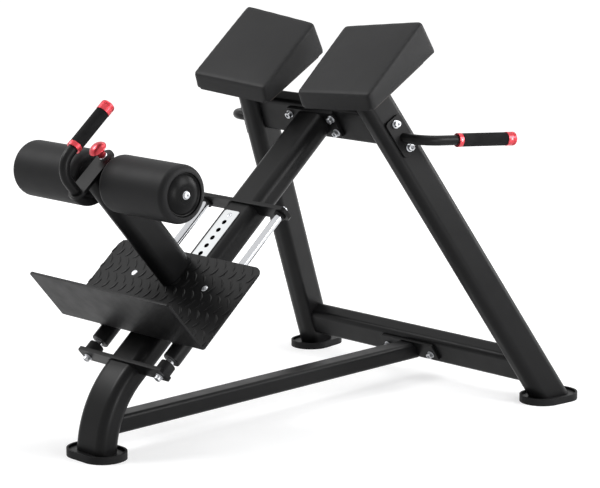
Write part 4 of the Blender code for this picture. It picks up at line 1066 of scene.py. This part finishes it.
@dataclass
class GuideRods:
    """The rods, their brackets and the adjuster strip on the beam."""

    rod: float = 0.020
    lower: float = 0.1205
    upper: float = 0.6175
    thickness: float = 0.010

    def build(self) -> None:
        """Build and dress the guides."""
        for place, word in ((self.lower, "lower"), (self.upper, "upper")):
            self.bracket().place(LAYOUT.up_slope(place)).stand(f"{word}_rod_bracket", "plate")
        low, high = self.lower + self.thickness + GAP, self.upper - GAP
        radius = self.rod / 2.0
        bore = radius + GAP
        rod = turned(0.0, radius, low, high, chamfer(0.001))
        bumper = turned(bore, 0.0190, low + GAP, low + GAP + 0.025,
                        eased(0.0020, 0.0008, 0.0006))
        collar = turned(bore, 0.015, high - 0.005, high - GAP, chamfer(0.0005))
        for side, word in SIDES:
            frame = LAYOUT.rod(side)
            Form().lathe(rod, 64).place(frame).stand(f"guide_rod_{word}", "bar", "chrome")
            Form().lathe(bumper, 56).place(frame).stand(
                f"rod_bumper_{word}", "rubber", "rubber_black")
            Form().lathe(collar, 48).place(frame).finish(
                f"rod_collar_{word}", "rubber_black", Body.FRAME)
        self.bolts()
        self.strip()

    def bracket(self) -> Form:
        """Make a bracket plate, notched over the beam."""
        half, top, low, cut = 0.152, 0.037, -0.003, 0.006
        form = Form().panel([(-half, low + cut), (-half + cut, low), (half - cut, low),
                             (half, low + cut), (half, top - cut), (half - cut, top),
                             (-half + cut, top), (-half, top - cut)]).thicken(self.thickness)
        notch = Form().tube(MainFrame.beam_width + 2.0 * GAP, MainFrame.beam_depth + 2.0 * GAP,
                            MainFrame.radius, -0.02, 0.03)
        form.place(Matrix.Scale(-1.0, 4, (0.0, 1.0, 0.0))).outward()
        return form.carve(notch).outward().soften(0.0008)

    def bolts(self) -> None:
        """Put a bolt through each bracket into each rod's end."""
        seats = []
        for side, _ in SIDES:
            seats += [LAYOUT.rod(side, self.upper + self.thickness),
                      LAYOUT.rod(side, self.lower) @ rotation(180.0, "X")]
        CapBolt().row("rod_bolt", seats)

    def strip(self) -> None:
        """Make the adjuster strip with its row of holes and its end screw."""
        holes, end, top = PinHoles(), 0.5915, 0.0333
        low = holes.last - (end - holes.first)
        form = Form().rectangle(0.050, end - low, 0.006, 6).thicken(0.003)
        form.place(shift(0.0, (end + low) / 2.0, top - 0.003))
        seat = shift(0.0, end - 0.014, top)
        sink = Form().lathe([(0.0, 0.002), (0.0067, 0.002), (0.0067, -0.0008),
                             (0.0032, -0.0028), (0.0032, -0.010), (0.0, -0.010)], 32)
        form.carve(holes.drills(0.026, 0.038).join(sink.place(seat))).outward()
        form.soften(0.0003, 1).place(LAYOUT.beam).stand("adjuster_strip", "plate",
                                                        "strip_steel")
        screw = FlatScrew(0.006, 0.011, 0.0026, 0.009, 0.004).form()
        screw.place(LAYOUT.beam @ seat).stand("strip_screw", "top", "zinc")


# Handles

@dataclass(frozen=True)
class GripSet:
    """A handle's collar, foam grip and end cap, along Z from the collar's foot."""

    grip_length: float
    bore: float = 0.01255
    band: float = 0.0170
    collar: float = 0.012
    grip: float = 0.01625
    cap: float = 0.025
    wall: float = 0.004

    @property
    def inside(self) -> float:
        """Give where the tube ends inside the cap."""
        return self.collar + 2.0 * GAP + self.grip_length + self.cap - self.wall - GAP

    def build(self, nodes: str, frame: Matrix, body: Body, screw_turn: float) -> None:
        """Build and dress the three pieces and their set screws.

        Args:
            nodes: the solids' names, with {} for the piece's own word.
            frame: where they lie, Z along the handle.
            body: the body that they ride on.
            screw_turn: where the set screws face, in degrees about Z.
        """
        collar = turned(self.bore, self.band, 0.0, self.collar, eased(0.0012, 0.0003, 0.0004))
        Form().lathe(collar, 64).place(frame).stand(
            nodes.format("collar"), "ring", "red_anodised", body)
        low = self.collar + GAP
        high = low + self.grip_length
        grip = turned(self.bore, self.grip, low, high, eased(0.0025, 0.0008, 0.0007))
        sleeve = Form().lathe(grip, 64).place(frame).stand(
            nodes.format("grip"), "foam", "grip_foam", body)
        self.end_cap(high + GAP).place(frame).stand(nodes.format("cap"), "end",
                                                    "red_anodised", body)
        for number, height in ((1, self.collar / 2.0), (2, high + GAP + 0.009)):
            seat = frame @ rotation(screw_turn, "Z")
            seat = seat @ facing((1.0, 0.0, 0.0), (self.band + 0.0002, 0.0, height),
                                 (0.0, 0.0, 1.0))
            screw = FlatScrew(0.0040, 0.0052, 0.0010, 0.004, 0.0022).form()
            screw.place(seat).finish(f"{nodes.format('set_screw')}_{number}", "zinc", body)

    def end_cap(self, low: float) -> Form:
        """Turn the cap with its two fine grooves.

        Args:
            low: height of its open end.

        Returns:
            The cap.
        """
        band, high = self.band, low + self.cap
        profile = [(0.0, high), (band - 0.0045, high), (band - 0.0018, high - 0.0006),
                   (band - 0.0004, high - 0.0022), (band, high - 0.0045)]
        for groove in (low + 0.0185, low + 0.0150):
            profile += [(band, groove + 0.0012), (band - 0.0009, groove + 0.0006),
                        (band - 0.0009, groove - 0.0006), (band, groove - 0.0012)]
        profile += [(band, low + 0.0006), (band - 0.0006, low), (self.bore, low),
                    (self.bore, high - self.wall), (0.0, high - self.wall)]
        return Form().lathe(profile, 64)


@dataclass(frozen=True)
class Bend:
    """A round handle tube that leaves along one unit direction and runs along another."""

    start: Vector
    first: Vector
    second: Vector
    reach: float
    run: float
    bend: float
    diameter: float = 0.0245

    @property
    def half(self) -> float:
        """Give the tangent of half the bend's angle."""
        return math.tan(self.first.angle(self.second) / 2.0)

    @property
    def tangent(self) -> float:
        """Give how far before the corner the bend starts."""
        return min(self.bend * self.half, self.reach * 0.95)

    @property
    def end(self) -> Vector:
        """Give the middle of the tube's far end."""
        return self.start + self.first * self.reach + self.second * (self.tangent + self.run)

    def form(self) -> Form:
        """Build the tube."""
        first, second = self.first, self.second
        form = Form().circle(40, self.diameter / 2.0, filled=False)
        form.bend(self.reach - self.tangent, self.tangent / self.half, first.angle(second),
                  self.run, 20)
        side = (second - first * second.dot(first)).normalized()
        turn = Matrix((side.cross(first), side, first)).transposed().to_4x4()
        return form.place(Matrix.Translation(self.start) @ turn)


@dataclass
class HipHandle:
    """A side handle on its plate, bolted to a rear leg."""

    side: int
    word: str
    along: float = 0.7955
    plate_width: float = 0.050
    plate_length: float = 0.100
    plate: float = 0.008
    bolt_place: float = 0.034
    splay: float = math.radians(15.0)
    drop: float = math.radians(3.0)
    grips: GripSet = GripSet(0.128)

    def build(self) -> None:
        """Build and dress the handle."""
        leg = RearLeg(self.side)
        place = leg.foot + leg.along * self.along + leg.normal * (leg.depth / 2.0 + GAP)
        seat = facing(leg.normal, place, leg.normal.cross(leg.along) * -1.0)
        plate = Form().slab(self.plate_width, self.plate_length, 0.010, 6, self.plate)
        plate.place(seat).stand(f"hip_handle_plate_{self.word}", "flat")
        CapBolt().row(f"hip_handle_bolt_{self.word}", [
            seat @ shift(0.0, y, self.plate) for y in (-self.bolt_place, self.bolt_place)])
        run = Vector((self.side * math.sin(self.splay), math.cos(self.splay),
                      -math.tan(self.drop))).normalized()
        inside = self.grips.inside
        bar = Bend(seat @ Vector((0.0, -0.0045, 0.0)), Vector((self.side, 0.0, 0.0)), run,
                   0.076, 0.046 + inside, 0.056)
        tube = bar.form().level(seat, self.plate + GAP)
        tube.stand(f"hip_handle_tube_{self.word}", "bar")
        frame = facing(run, bar.end - run * inside, (0.0, 0.0, 1.0))
        self.grips.build("hip_handle_{}_" + self.word, frame, Body.FRAME, 85.0 * self.side)


# Carriage

@dataclass
class Carriage:
    """The sliding carriage: sleeves, foot plate, roller arm and arm handle."""

    sleeve_low: float = 0.1665
    sleeve_length: float = 0.246
    toe_top: float = 0.059
    toe_low: float = 0.1875
    toe_length: float = 0.245
    toe_corner: float = 0.022
    sole_height: float = 0.152
    sole_corner: float = 0.008
    width: float = 0.498
    thickness: float = 0.006
    bend: float = 0.010
    screw_across: float = 0.125
    screw_place: float = 0.3455
    arm_width: float = 0.050
    arm_round: float = 0.0249
    arm_top: float = 0.411
    head_plate: float = 0.008
    axle_radius: float = 0.010
    grips: GripSet = GripSet(0.100)

    def build(self) -> None:
        """Build and dress the carriage."""
        for side, word in SIDES:
            self.sleeve(side, word)
        self.foot_plate()
        self.tread()
        self.arm()
        self.handle()
        self.axle()

    def sleeve(self, side: int, word: str) -> None:
        """Make a slide sleeve with its saddle block, and the screw through it.

        Args:
            side: -1 for left, 1 for right.
            word: left or right.
        """
        low, high = self.sleeve_low, self.sleeve_low + self.sleeve_length
        profile = turned(0.0104, 0.0215, low, high, eased(0.002, 0.0006, 0.0006), 0.0015)
        sleeve = Form().lathe(profile, 64).place(LAYOUT.rod(side))
        foot, top = 0.029, 0.0527
        saddle = Form().rectangle(0.024, 0.180, 0.004, 4).thicken(top - foot)
        saddle.place(LAYOUT.beam @ shift(side * LAYOUT.rod_spacing / 2.0, (low + high) / 2.0,
                                         foot))
        sleeve.join(saddle).stand(f"slide_sleeve_{word}", "shell", "plastic_black",
                                  Body.CARRIAGE)
        head = 0.0080
        screw = Form().lathe([(0.0, 0.0018), (head - 0.0022, 0.0018), (head - 0.0008, 0.0013),
                              (head, 0.0003), (head, -0.0006), (0.004, -0.0040),
                              (0.004, -0.0225), (0.0, -0.0225)], 48)
        screw.place(LAYOUT.beam @ shift(side * self.screw_across, self.screw_place,
                                        self.toe_top))
        screw.stand(f"foot_plate_screw_{word}", "head", "zinc", Body.CARRIAGE)

    def foot_plate(self) -> None:
        """Bend the foot plate from a sheet and give it its thickness."""
        half = self.width / 2.0
        toe_end = self.toe_low + self.toe_length
        sole_end = self.toe_top + self.sole_height
        form = Form()
        ends = [form.work.verts.new((x, toe_end, self.toe_top)) for x in (-half, half)]
        edge = form.work.edges.new(ends)
        rim = form.pull([edge], Vector((0.0, self.bend - self.toe_length, 0.0)))
        inner = self.bend - self.thickness
        last = form.spin(rim, (0.0, self.toe_low + self.bend, self.toe_top + inner),
                         (-1.0, 0.0, 0.0), QUARTER, 8)
        form.pull(last, Vector((0.0, 0.0, self.sole_height - inner)))
        form.outward()
        for radius, chosen in ((self.toe_corner, lambda v: v.co.y > toe_end - 0.001),
                               (self.sole_corner, lambda v: v.co.z > sole_end - 0.001)):
            form.bevel([vert for vert in form.work.verts if chosen(vert)], radius, 8,
                       "VERTICES")
        up = sum(face.normal.z for face in form.work.faces
                 if face.calc_center_median().y > self.toe_low + 0.1)
        if up < 0.0:
            bmesh.ops.reverse_faces(form.work, faces=form.work.faces)
        bmesh.ops.solidify(form.work, geom=form.work.faces[:], thickness=self.thickness)
        form.outward().soften(0.0007, 2, 60.0)
        form.place(LAYOUT.beam).stand("foot_plate", "sheet", body=Body.CARRIAGE)

    @staticmethod
    def tread_bar(length: float, lean: float) -> bpy.types.Mesh:
        """Shape one tread bar: a bowed lens.

        Args:
            length: its length.
            lean: its lean in degrees.

        Returns:
            Its mesh.
        """
        width, height, bow = 0.0074, 0.0019, 0.0030
        bar = Form()
        bmesh.ops.create_uvsphere(bar.work, u_segments=18, v_segments=7, radius=0.5)
        for vert in bar.work.verts:
            vert.co.x *= 0.45 + 0.55 * (1.0 - (2.0 * abs(vert.co.y)) ** 2.0)
        bar.place(Matrix.Diagonal((width, length, 2.0 * height, 1.0)))
        for vert in bar.work.verts:
            vert.co.x += bow * (0.5 - (2.0 * vert.co.y / length) ** 2.0)
        return bar.place(rotation(lean, "Z")).mesh("tread_bar")

    def tread(self) -> None:
        """Raise the lens-shaped tread bars on the toe plate, cut at its edges."""
        pitch, row, offset = 0.0305, 0.0245, -0.005
        edge, screw_room = 0.0004, 0.011
        meshes = [self.tread_bar(0.0290, -25.0), self.tread_bar(0.0330, 36.0)]
        form = Form()
        half = self.width / 2.0
        low, high = self.toe_low, self.toe_low + self.toe_length
        rows = int(self.toe_length / row) + 2
        columns = int(self.width / pitch) + 2
        for line in range(rows):
            for column in range(-columns // 2, columns // 2 + 1):
                x = column * pitch + (pitch / 2.0 if line % 2 else 0.0) + offset
                y = low + 0.012 + line * row
                if abs(x) > half + 0.008 or y > high + 0.012:
                    continue
                if math.hypot(abs(x) - self.screw_across, y - self.screw_place) < screw_room:
                    continue
                copy = meshes[line % 2].copy()
                copy.transform(shift(x, y, self.toe_top - 0.0002))
                form.work.from_mesh(copy)
                bpy.data.meshes.remove(copy)
        for mesh in meshes:
            bpy.data.meshes.remove(mesh)
        form.trim((0.0, low + 0.006, 0.0), (0.0, -1.0, 0.0))
        form.trim((0.0, 0.0, self.toe_top - 0.0006), (0.0, 0.0, -1.0))
        corner, facets = self.toe_corner, 8
        for facet in range(facets + 1):
            angle = math.pi * facet / facets
            normal = Vector((math.cos(angle), math.sin(angle), 0.0))
            middle = Vector((math.copysign(half - corner, normal.x), high - corner, 0.0))
            form.trim(middle + normal * (corner - edge), normal)
        form.place(LAYOUT.beam).finish("toe_plate_tread", "frame_black", Body.CARRIAGE)

    def arm(self) -> None:
        """Make the roller arm and the round-ended plate on top of it."""
        arm = Form().tube(self.arm_width, 0.092, self.arm_round, self.toe_top + GAP,
                          self.arm_top)
        arm.place(LAYOUT.beam @ shift(0.0, LAYOUT.arm_place, 0.0))
        arm.stand("roller_arm", "tube", body=Body.CARRIAGE)
        low, high = 0.2795, 0.4275
        plate = Form().slab(self.arm_width, high - low, self.arm_round, 14, self.head_plate)
        plate.place(LAYOUT.beam @ shift(0.0, (low + high) / 2.0, self.arm_top + GAP))
        plate.stand("arm_head_plate", "flat", body=Body.CARRIAGE)

    def handle(self) -> None:
        """Make the arm handle with its grip set."""
        face = self.arm_top + GAP + self.head_plate + GAP
        inside = self.grips.inside
        turn = LAYOUT.beam.to_3x3()
        up, run = (turn @ Vector(way) for way in ((0.0, 0.0, 1.0), (0.0, 1.0, 0.0)))
        bar = Bend(LAYOUT.beam @ Vector((0.0, 0.2975, face)), up, run, 0.497 - face,
                   0.011 + inside, 0.048)
        bar.form().stand("arm_handle_tube", "bar", body=Body.CARRIAGE)
        self.grips.build("arm_handle_{}", facing(run, bar.end - run * inside, up),
                         Body.CARRIAGE, -46.0)

    def axle(self) -> None:
        """Make the roller axle and its end screws."""
        half = AnkleRoller.outer - AnkleRoller.sink + AnkleRoller.dome + GAP
        axle = Form().lathe(turned(0.0, self.axle_radius, -half, half, chamfer(0.001)), 48)
        axle.place(LAYOUT.axle(1)).stand("roller_axle", "bar", "zinc", Body.CARRIAGE)
        low, head, height, shank = half + GAP, 0.0082, 0.0035, 0.003
        for side, word in SIDES:
            screw = Form().lathe([(0.0, low + height), (head - 0.0028, low + height),
                                  (head - 0.0008, low + 0.0026), (head, low + 0.0012),
                                  (head, low), (shank, low), (shank, low - 0.018),
                                  (0.0, low - 0.018)], 40)
            screw.carve(hexagon(0.003 * math.sqrt(3.0), low + 0.0012, 0.006))
            screw.place(LAYOUT.axle(side)).stand(f"axle_end_screw_{word}", "head", "zinc",
                                                 Body.CARRIAGE)


@dataclass
class AnkleRoller:
    """A foam roller that turns on the axle."""

    side: int
    word: str
    inner: float = 0.046
    outer: float = 0.268
    radius: float = 0.066
    shoulder: float = 0.016
    dish: float = 0.006
    dish_radius: float = 0.044
    cap: float = 0.049
    sink: float = 0.0035
    dome: float = 0.0095
    bore: float = 0.0163
    steps: int = 12

    def build(self) -> None:
        """Build and dress the roller and its core."""
        body = Body.ROLLER_LEFT if self.side < 0 else Body.ROLLER_RIGHT
        frame = LAYOUT.axle(self.side)
        roller = Form().lathe(self.profile(), 112).place(frame)
        piece = roller.stand(f"ankle_roller_{self.word}", "foam", "roller_foam", body, 60.0)
        core = Form().lathe(self.core(), 96).place(frame)
        # The core and its domed end cap take the darker plastic, whose darkness is painted
        # shade.
        core.stand(f"roller_core_{self.word}", "tube", "shade_darkened_cap_plastic", body)

    def core(self) -> list[Point]:
        """Give the core's closed profile: a tube with the domed cap at its outer end."""
        low, tube, bore = 0.0253, 0.016, 0.0104
        seat = self.outer - self.dish + GAP
        edge = self.outer - self.sink
        top = edge + self.dome
        hub, foot = 0.018, self.cap - 0.0040
        points = [(bore, top), (hub - 0.0012, top), (hub - 0.0003, top - 0.0003)]
        for step in range(self.steps + 1):
            share = step / self.steps
            rise = (top - 0.0007 - edge + 0.0010) * (1.0 - share * share)
            points.append((hub + (foot - hub) * share, edge - 0.0010 + rise))
        return points + [(foot + 0.0008, edge - 0.0007), (foot + 0.0017, edge - 0.0001),
                         (self.cap - 0.0015, edge), (self.cap - 0.0004, edge - 0.0004),
                         (self.cap, edge - 0.0012), (self.cap, seat), (tube, seat),
                         (tube, low + 0.0005), (tube - 0.0005, low), (bore, low)]

    def profile(self) -> list[Point]:
        """Give the roller's closed profile: soft shoulders, a seat for the cap and a dish."""
        depth, ring, recess = self.dish, self.dish_radius, self.cap + GAP
        dish = [(self.bore, depth), (ring - 0.012, depth), (ring - 0.006, depth - 0.0008),
                (ring - 0.0025, depth - 0.0030), (ring, 0.0010), (ring + 0.0016, 0.0001)]
        seat = [(self.bore, depth), (recess, depth), (recess, 0.0016),
                (recess + 0.0002, 0.0006), (recess + 0.0006, 0.0001)]
        angles = [QUARTER * step / self.steps for step in range(self.steps + 1)]
        middle = self.radius - self.shoulder
        arc = [(middle + self.shoulder * math.cos(angle),
                self.shoulder * (1.0 - math.sin(angle))) for angle in angles]
        return ([(radius, self.outer - low) for radius, low in seat + arc[::-1]]
                + [(radius, self.inner + low) for radius, low in arc + dish[::-1]])


# Pull pin

@dataclass
class PullPin:
    """The pin that locks the carriage, its knob and its bush."""

    place: float = 0.4045
    face: float = 0.4193
    rim: float = 0.446

    def build(self) -> None:
        """Build and dress the pin."""
        frame = LAYOUT.beam @ shift(0.0, self.place, 0.0)
        face = self.face + GAP
        top = face + 0.004
        bush = Form().lathe([(0.0054, top), (0.0092, top), (0.0105, top - 0.0012),
                             (0.0105, face), (0.008, face), (0.008, face - 0.026),
                             (0.0054, face - 0.026)], 56)
        bush.place(frame).stand("pin_bush", "ring", "chrome", Body.CARRIAGE)
        self.pin().place(frame).stand("pull_pin", "rod", "chrome", Body.PIN)
        self.knob(top + GAP).place(frame).stand("pull_knob", "head", "red_anodised",
                                                Body.PIN, 60.0)

    def pin(self) -> Form:
        """Turn the pin with its shoulder and its round nose."""
        low, shoulder, thin, wide = 0.0243, 0.3306, 0.005, 0.0075
        return Form().lathe([(0.0, self.rim), (thin, self.rim), (thin, shoulder),
                             (wide, shoulder - 0.0003), (wide, shoulder - 0.004),
                             (thin, shoulder - 0.0043), (thin, low + 0.002),
                             (0.0040, low + 0.0007), (0.0025, low), (0.0, low)], 40)

    def knob(self, low: float) -> Form:
        """Turn the mushroom knob above its stem.

        Args:
            low: height of the stem's foot.

        Returns:
            The knob.
        """
        rim, stem, bore = self.rim, 0.0095, 0.0053
        head = ((0.0, 0.011), (0.006, 0.0106), (0.0115, 0.0091), (0.016, 0.0066),
                (0.0195, 0.0035), (0.0213, 0.0012), (0.022, -0.0006), (0.0216, -0.0022),
                (0.0200, -0.0034), (0.0165, -0.0046), (0.0130, -0.0062), (0.0108, -0.0088),
                (stem, -0.0125))
        return Form().lathe([(radius, rim + height) for radius, height in head]
                            + [(stem, low + 0.001), (stem - 0.001, low), (bore, low),
                               (bore, rim + GAP), (0.0, rim + GAP)], 72)


# Hip pads

@dataclass
class HipPad:
    """A wedge-shaped hip cushion, its board and the bracket on the leg."""

    side: int
    inner_x: float = 0.058
    width: float = 0.244
    inner_length: float = 0.226
    outer_length: float = 0.246
    front: float = 0.042
    back: float = 0.089
    rake: float = 0.008
    edge: float = 0.010
    crown: float = 0.003
    overhang: float = 0.008
    behind: float = 0.003
    board: float = 0.010
    bracket: float = 0.006

    @property
    def stack(self) -> float:
        """Give the depth of the board and bracket under the cushion."""
        return self.board + self.bracket + 2.0 * GAP

    @property
    def frame(self) -> Matrix:
        """Give the pad's frame, in the middle of its base's front edge."""
        middle = self.side * (self.inner_x + self.width / 2.0)
        place = LAYOUT.beam @ Vector((middle, 0.876, 0.1115))
        turn = rotation(29.7, "X") @ rotation(-4.5 * self.side, "Y")
        return Matrix.Translation(place) @ turn

    def build(self, word: str) -> None:
        """Build and dress the pad.

        Args:
            word: left or right.
        """
        middle = (self.inner_length + self.outer_length) / 4.0
        inset, radius, edge = 0.012, 0.010, 0.0008
        board = Form().slab(self.width - 2.0 * inset, self.inner_length - 2.0 * inset,
                            radius, 6, self.board, edge)
        board.place(self.frame @ shift(0.0, middle, -GAP - self.board))
        board.stand(f"pad_board_{word}", "ply", "plywood")
        bracket = Form().slab(0.130, 0.150, radius, 6, self.bracket, edge)
        bracket.place(self.frame @ shift(0.0, middle, -self.stack))
        bracket.stand(f"pad_bracket_{word}", "flat")
        item = self.block().link(f"hip_pad_{word}_cushion")
        inflate(item, self.sewn)
        item.data.transform(self.frame)
        dress(item, "pad_vinyl", Body.FRAME, f"hip_pad_{word}", sharp=70.0)

    def block(self) -> Form:
        """Shape the cushion from a divided cube."""
        form = Form()
        bmesh.ops.create_cube(form.work, size=2.0)
        bmesh.ops.subdivide_edges(form.work, edges=form.work.edges, cuts=23,
                                  use_grid_fill=True)
        half = Vector((self.width / 2.0, self.inner_length / 2.0, self.back / 2.0))
        for vert in form.work.verts:
            block = Vector([math.copysign(abs(c) ** 0.6, c) for c in vert.co])
            real = Vector([b * h for b, h in zip(block, half)])
            core = Vector([max(self.edge - h, min(h - self.edge, c))
                           for c, h in zip(real, half)])
            if block.z < 0.0:
                core.z = real.z
            off = real - core
            if off.length > MERGE:
                real = core + off.normalized() * min(self.edge, off.length)
            vert.co = self.point(real.x / half.x, real.y / half.y, real.z / half.z)
        return form.outward()

    def length(self, out: float) -> float:
        """Give the length at a share of the width, from the inner side."""
        return (self.inner_length + (self.outer_length - self.inner_length) * out
                + self.behind)

    def sewn(self, place: Vector) -> bool:
        """Say whether a point of the cushion lies along a seam or on its base.

        Args:
            place: the point, in the pad's frame.

        Returns:
            True where the cover is held.
        """
        held = 0.004
        if place.z < held:
            return True
        length = self.length((2.0 * place.x * self.side / self.width + 1.0) / 2.0)
        share = min(1.0, max(0.0, place.y / length))
        thick = self.front + (self.back - self.front) * share
        reach = self.width / 2.0 + (self.overhang if place.x * self.side > 0.0 else 0.0)
        room = (reach - abs(place.x), place.y - self.rake * place.z / self.front,
                length - place.y, thick - place.z)
        return sum(gap < self.edge + held for gap in room) > 1

    def point(self, u: float, v: float, w: float) -> Vector:
        """Map a point of the unit block to the wedge.

        Args:
            u: -1 to 1 across, to the user's right.
            v: -1 to 1 from the front to the back.
            w: -1 to 1 from the base to the top.

        Returns:
            The point in the pad's frame.
        """
        out, back, rise = (u * self.side + 1.0) / 2.0, (v + 1.0) / 2.0, (w + 1.0) / 2.0
        thick = self.front + (self.back - self.front) * back
        crown = self.crown * (1.0 - u * u) * (1.0 - v * v) * rise
        near = self.rake * rise
        across = u * self.width / 2.0 + self.side * self.overhang * out
        return Vector((across, near + (self.length(out) - near) * back,
                       thick * rise + crown))


def inflate(item: bpy.types.Object, held: Callable[[Vector], bool], voxel: float = 0.0045,
            most: float = 0.0035) -> None:
    """Swell a cushion's panels with a short cloth simulation, held at its seams and base.

    Args:
        item: the cushion, in its own frame, standing on Z = 0.
        held: says whether a point is held by a seam or the board.
        voxel: size of the remeshed grid.
        most: how far a point may move.
    """
    remesh = item.modifiers.new("remesh", "REMESH")
    remesh.mode = "VOXEL"
    remesh.voxel_size = voxel
    settle(item)
    rest = [vert.co.copy() for vert in item.data.vertices]
    pins = item.vertex_groups.new(name="seams")
    pins.add([number for number, place in enumerate(rest) if held(place)], 1.0, "REPLACE")
    cloth = item.modifiers.new("cloth", "CLOTH")
    cloth.settings.vertex_group_mass = pins.name
    cloth.settings.use_pressure = True
    cloth.settings.uniform_pressure_force = 4.0
    cloth.settings.effector_weights.gravity = 0.0
    cloth.settings.tension_stiffness = 25.0
    cloth.settings.compression_stiffness = 25.0
    scene = bpy.context.scene
    for frame in range(1, 21):
        scene.frame_set(frame)
    settle(item)
    scene.frame_set(1)
    for vert, start in zip(item.data.vertices, rest):
        step = vert.co - start
        if step.length > most:
            step *= most / step.length
        vert.co = start + step
        vert.co.z = max(vert.co.z, 0.0)
    item.modifiers.new("smooth", "SUBSURF").levels = 1
    settle(item)


# Studio

@dataclass(frozen=True)
class Lamp:
    """One soft rectangular lamp.

    Attributes:
        name: its name.
        place: where it stands.
        target: what it points at.
        size: its width and height.
        power: its power in watts.
    """

    name: str
    place: Triple
    target: Triple
    size: Point
    power: float

    def build(self) -> None:
        """Make the lamp."""
        data = bpy.data.lights.new(self.name, "AREA")
        data.shape = "RECTANGLE"
        data.size, data.size_y = self.size
        data.energy = self.power
        aim = Vector(self.target) - Vector(self.place)
        turn = aim.to_track_quat("-Z", "Y").to_matrix().to_4x4()
        show(self.name, data).matrix_world = Matrix.Translation(self.place) @ turn


@dataclass
class Studio:
    """The white studio: floor, world, lamps and camera."""

    lens: float = 131.27
    eye: Triple = (3.7927, -3.5973, 1.4589)
    right: Triple = (0.6981, 0.7160, -0.0026)
    back: Triple = (0.7026, -0.6843, 0.1952)
    lamps: tuple[Lamp, ...] = (
        Lamp("key_lamp", (-2.2, -1.9, 3.0), (0.0, 0.0, 0.4), (1.3, 1.3), 82.0),
        Lamp("side_lamp", (3.4, 1.6, 2.2), (0.0, 0.1, 0.5), (1.6, 2.0), 106.0),
        Lamp("low_lamp", (3.4, -0.7, 0.75), (0.0, -0.3, 0.4), (0.5, 1.0), 34.0),
        Lamp("rim_lamp", (1.5, 3.3, 1.5), (0.1, 0.0, 0.5), (1.2, 1.6), 46.0),
        Lamp("top_lamp", (0.0, 0.6, 3.8), (0.0, 0.0, 0.5), (2.6, 2.6), 48.0),
    )

    def build(self) -> None:
        """Build the studio round the bench."""
        self.camera()
        self.floor()
        self.world()
        for lamp in self.lamps:
            lamp.build()
        bpy.context.scene.view_settings.view_transform = "Standard"

    def camera(self) -> None:
        """Set the camera at the photograph's viewing angle."""
        data = bpy.data.cameras.new("camera")
        data.lens = self.lens
        data.sensor_width = 36.0
        data.clip_end = 100.0
        item = show("camera", data)
        item.matrix_world = facing(self.back, self.eye, self.right)
        bpy.context.scene.camera = item

    @staticmethod
    def seen(graph: Graph) -> NodeSocket:
        """Give 1 for camera, glossy and transmitted rays, and 0 for lighting.

        Args:
            graph: the nodes to add to.

        Returns:
            The value.
        """
        rays = graph.node("LightPath").outputs
        seen = rays["Is Camera Ray"]
        for ray in ("Is Glossy Ray", "Is Transmission Ray"):
            seen = graph.combine("Math", seen, rays[ray], operation="MAXIMUM")
        return seen

    def floor(self) -> None:
        """Lay the pale floor that shows white but keeps the bench's shadow."""
        form = Form()
        bmesh.ops.create_grid(form.work, x_segments=2, y_segments=2, size=40.0)
        item = form.link("studio_floor")
        material = bpy.data.materials.new("studio_floor_paint")
        graph = Graph(material)
        plain = graph.wire(graph.tree.nodes["Principled BSDF"],
                           Base_Color=(0.82, 0.82, 0.83, 1.0), Roughness=0.9)
        lit = graph.node("BsdfDiffuse", Color=(0.58, 0.58, 0.585, 1.0))
        far = graph.node("VectorMath", operation="LENGTH",
                         Vector=graph.node("TexCoord").outputs["Object"])
        fade = graph.node("MapRange", interpolation_type="SMOOTHSTEP",
                          Value=far.outputs["Value"], From_Min=0.7, From_Max=2.6, To_Min=0.58,
                          To_Max=1.0)
        glow = graph.node("Emission", Color=(1.0, 1.0, 1.0, 1.0),
                          Strength=fade.outputs["Result"])
        both = graph.combine("AddShader", lit.outputs[0], glow.outputs[0])
        mix = graph.combine("MixShader", self.seen(graph), plain.outputs[0], both)
        graph.wire(graph.tree.nodes["Material Output"], Surface=mix)
        item.data.materials.append(material)

    def world(self) -> None:
        """Light the bench with an even pale world that shows white."""
        world = bpy.data.worlds.new("studio_world")
        bpy.context.scene.world = world
        graph = Graph(world)
        spread = graph.node("MapRange", Value=self.seen(graph), To_Min=0.13, To_Max=1.0)
        graph.wire(graph.tree.nodes["Background"], Color=(1.0, 1.0, 1.0, 1.0),
                   Strength=spread.outputs["Result"])


def main() -> None:
    """Load the frame and build the bench's looks round it."""
    logging.basicConfig(level=logging.INFO, format="%(message)s")
    for item in list(bpy.data.objects):
        bpy.data.objects.remove(item, do_unlink=True)
    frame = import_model()
    Studio().build()
    MainFrame().build()
    GuideRods().build()
    Carriage().build()
    for side, word in SIDES:
        AnkleRoller(side, word).build()
        HipHandle(side, word).build()
        HipPad(side).build(word)
    PullPin().build()
    slots = {part["node"]: part["material_slot"] for part in frame["record"]["subparts"]}
    for node, item in frame["nodes"].items():
        item.data.materials.clear()
        item.data.materials.append(Palette.get(slots[node]))


if __name__ == "__main__":
    main()
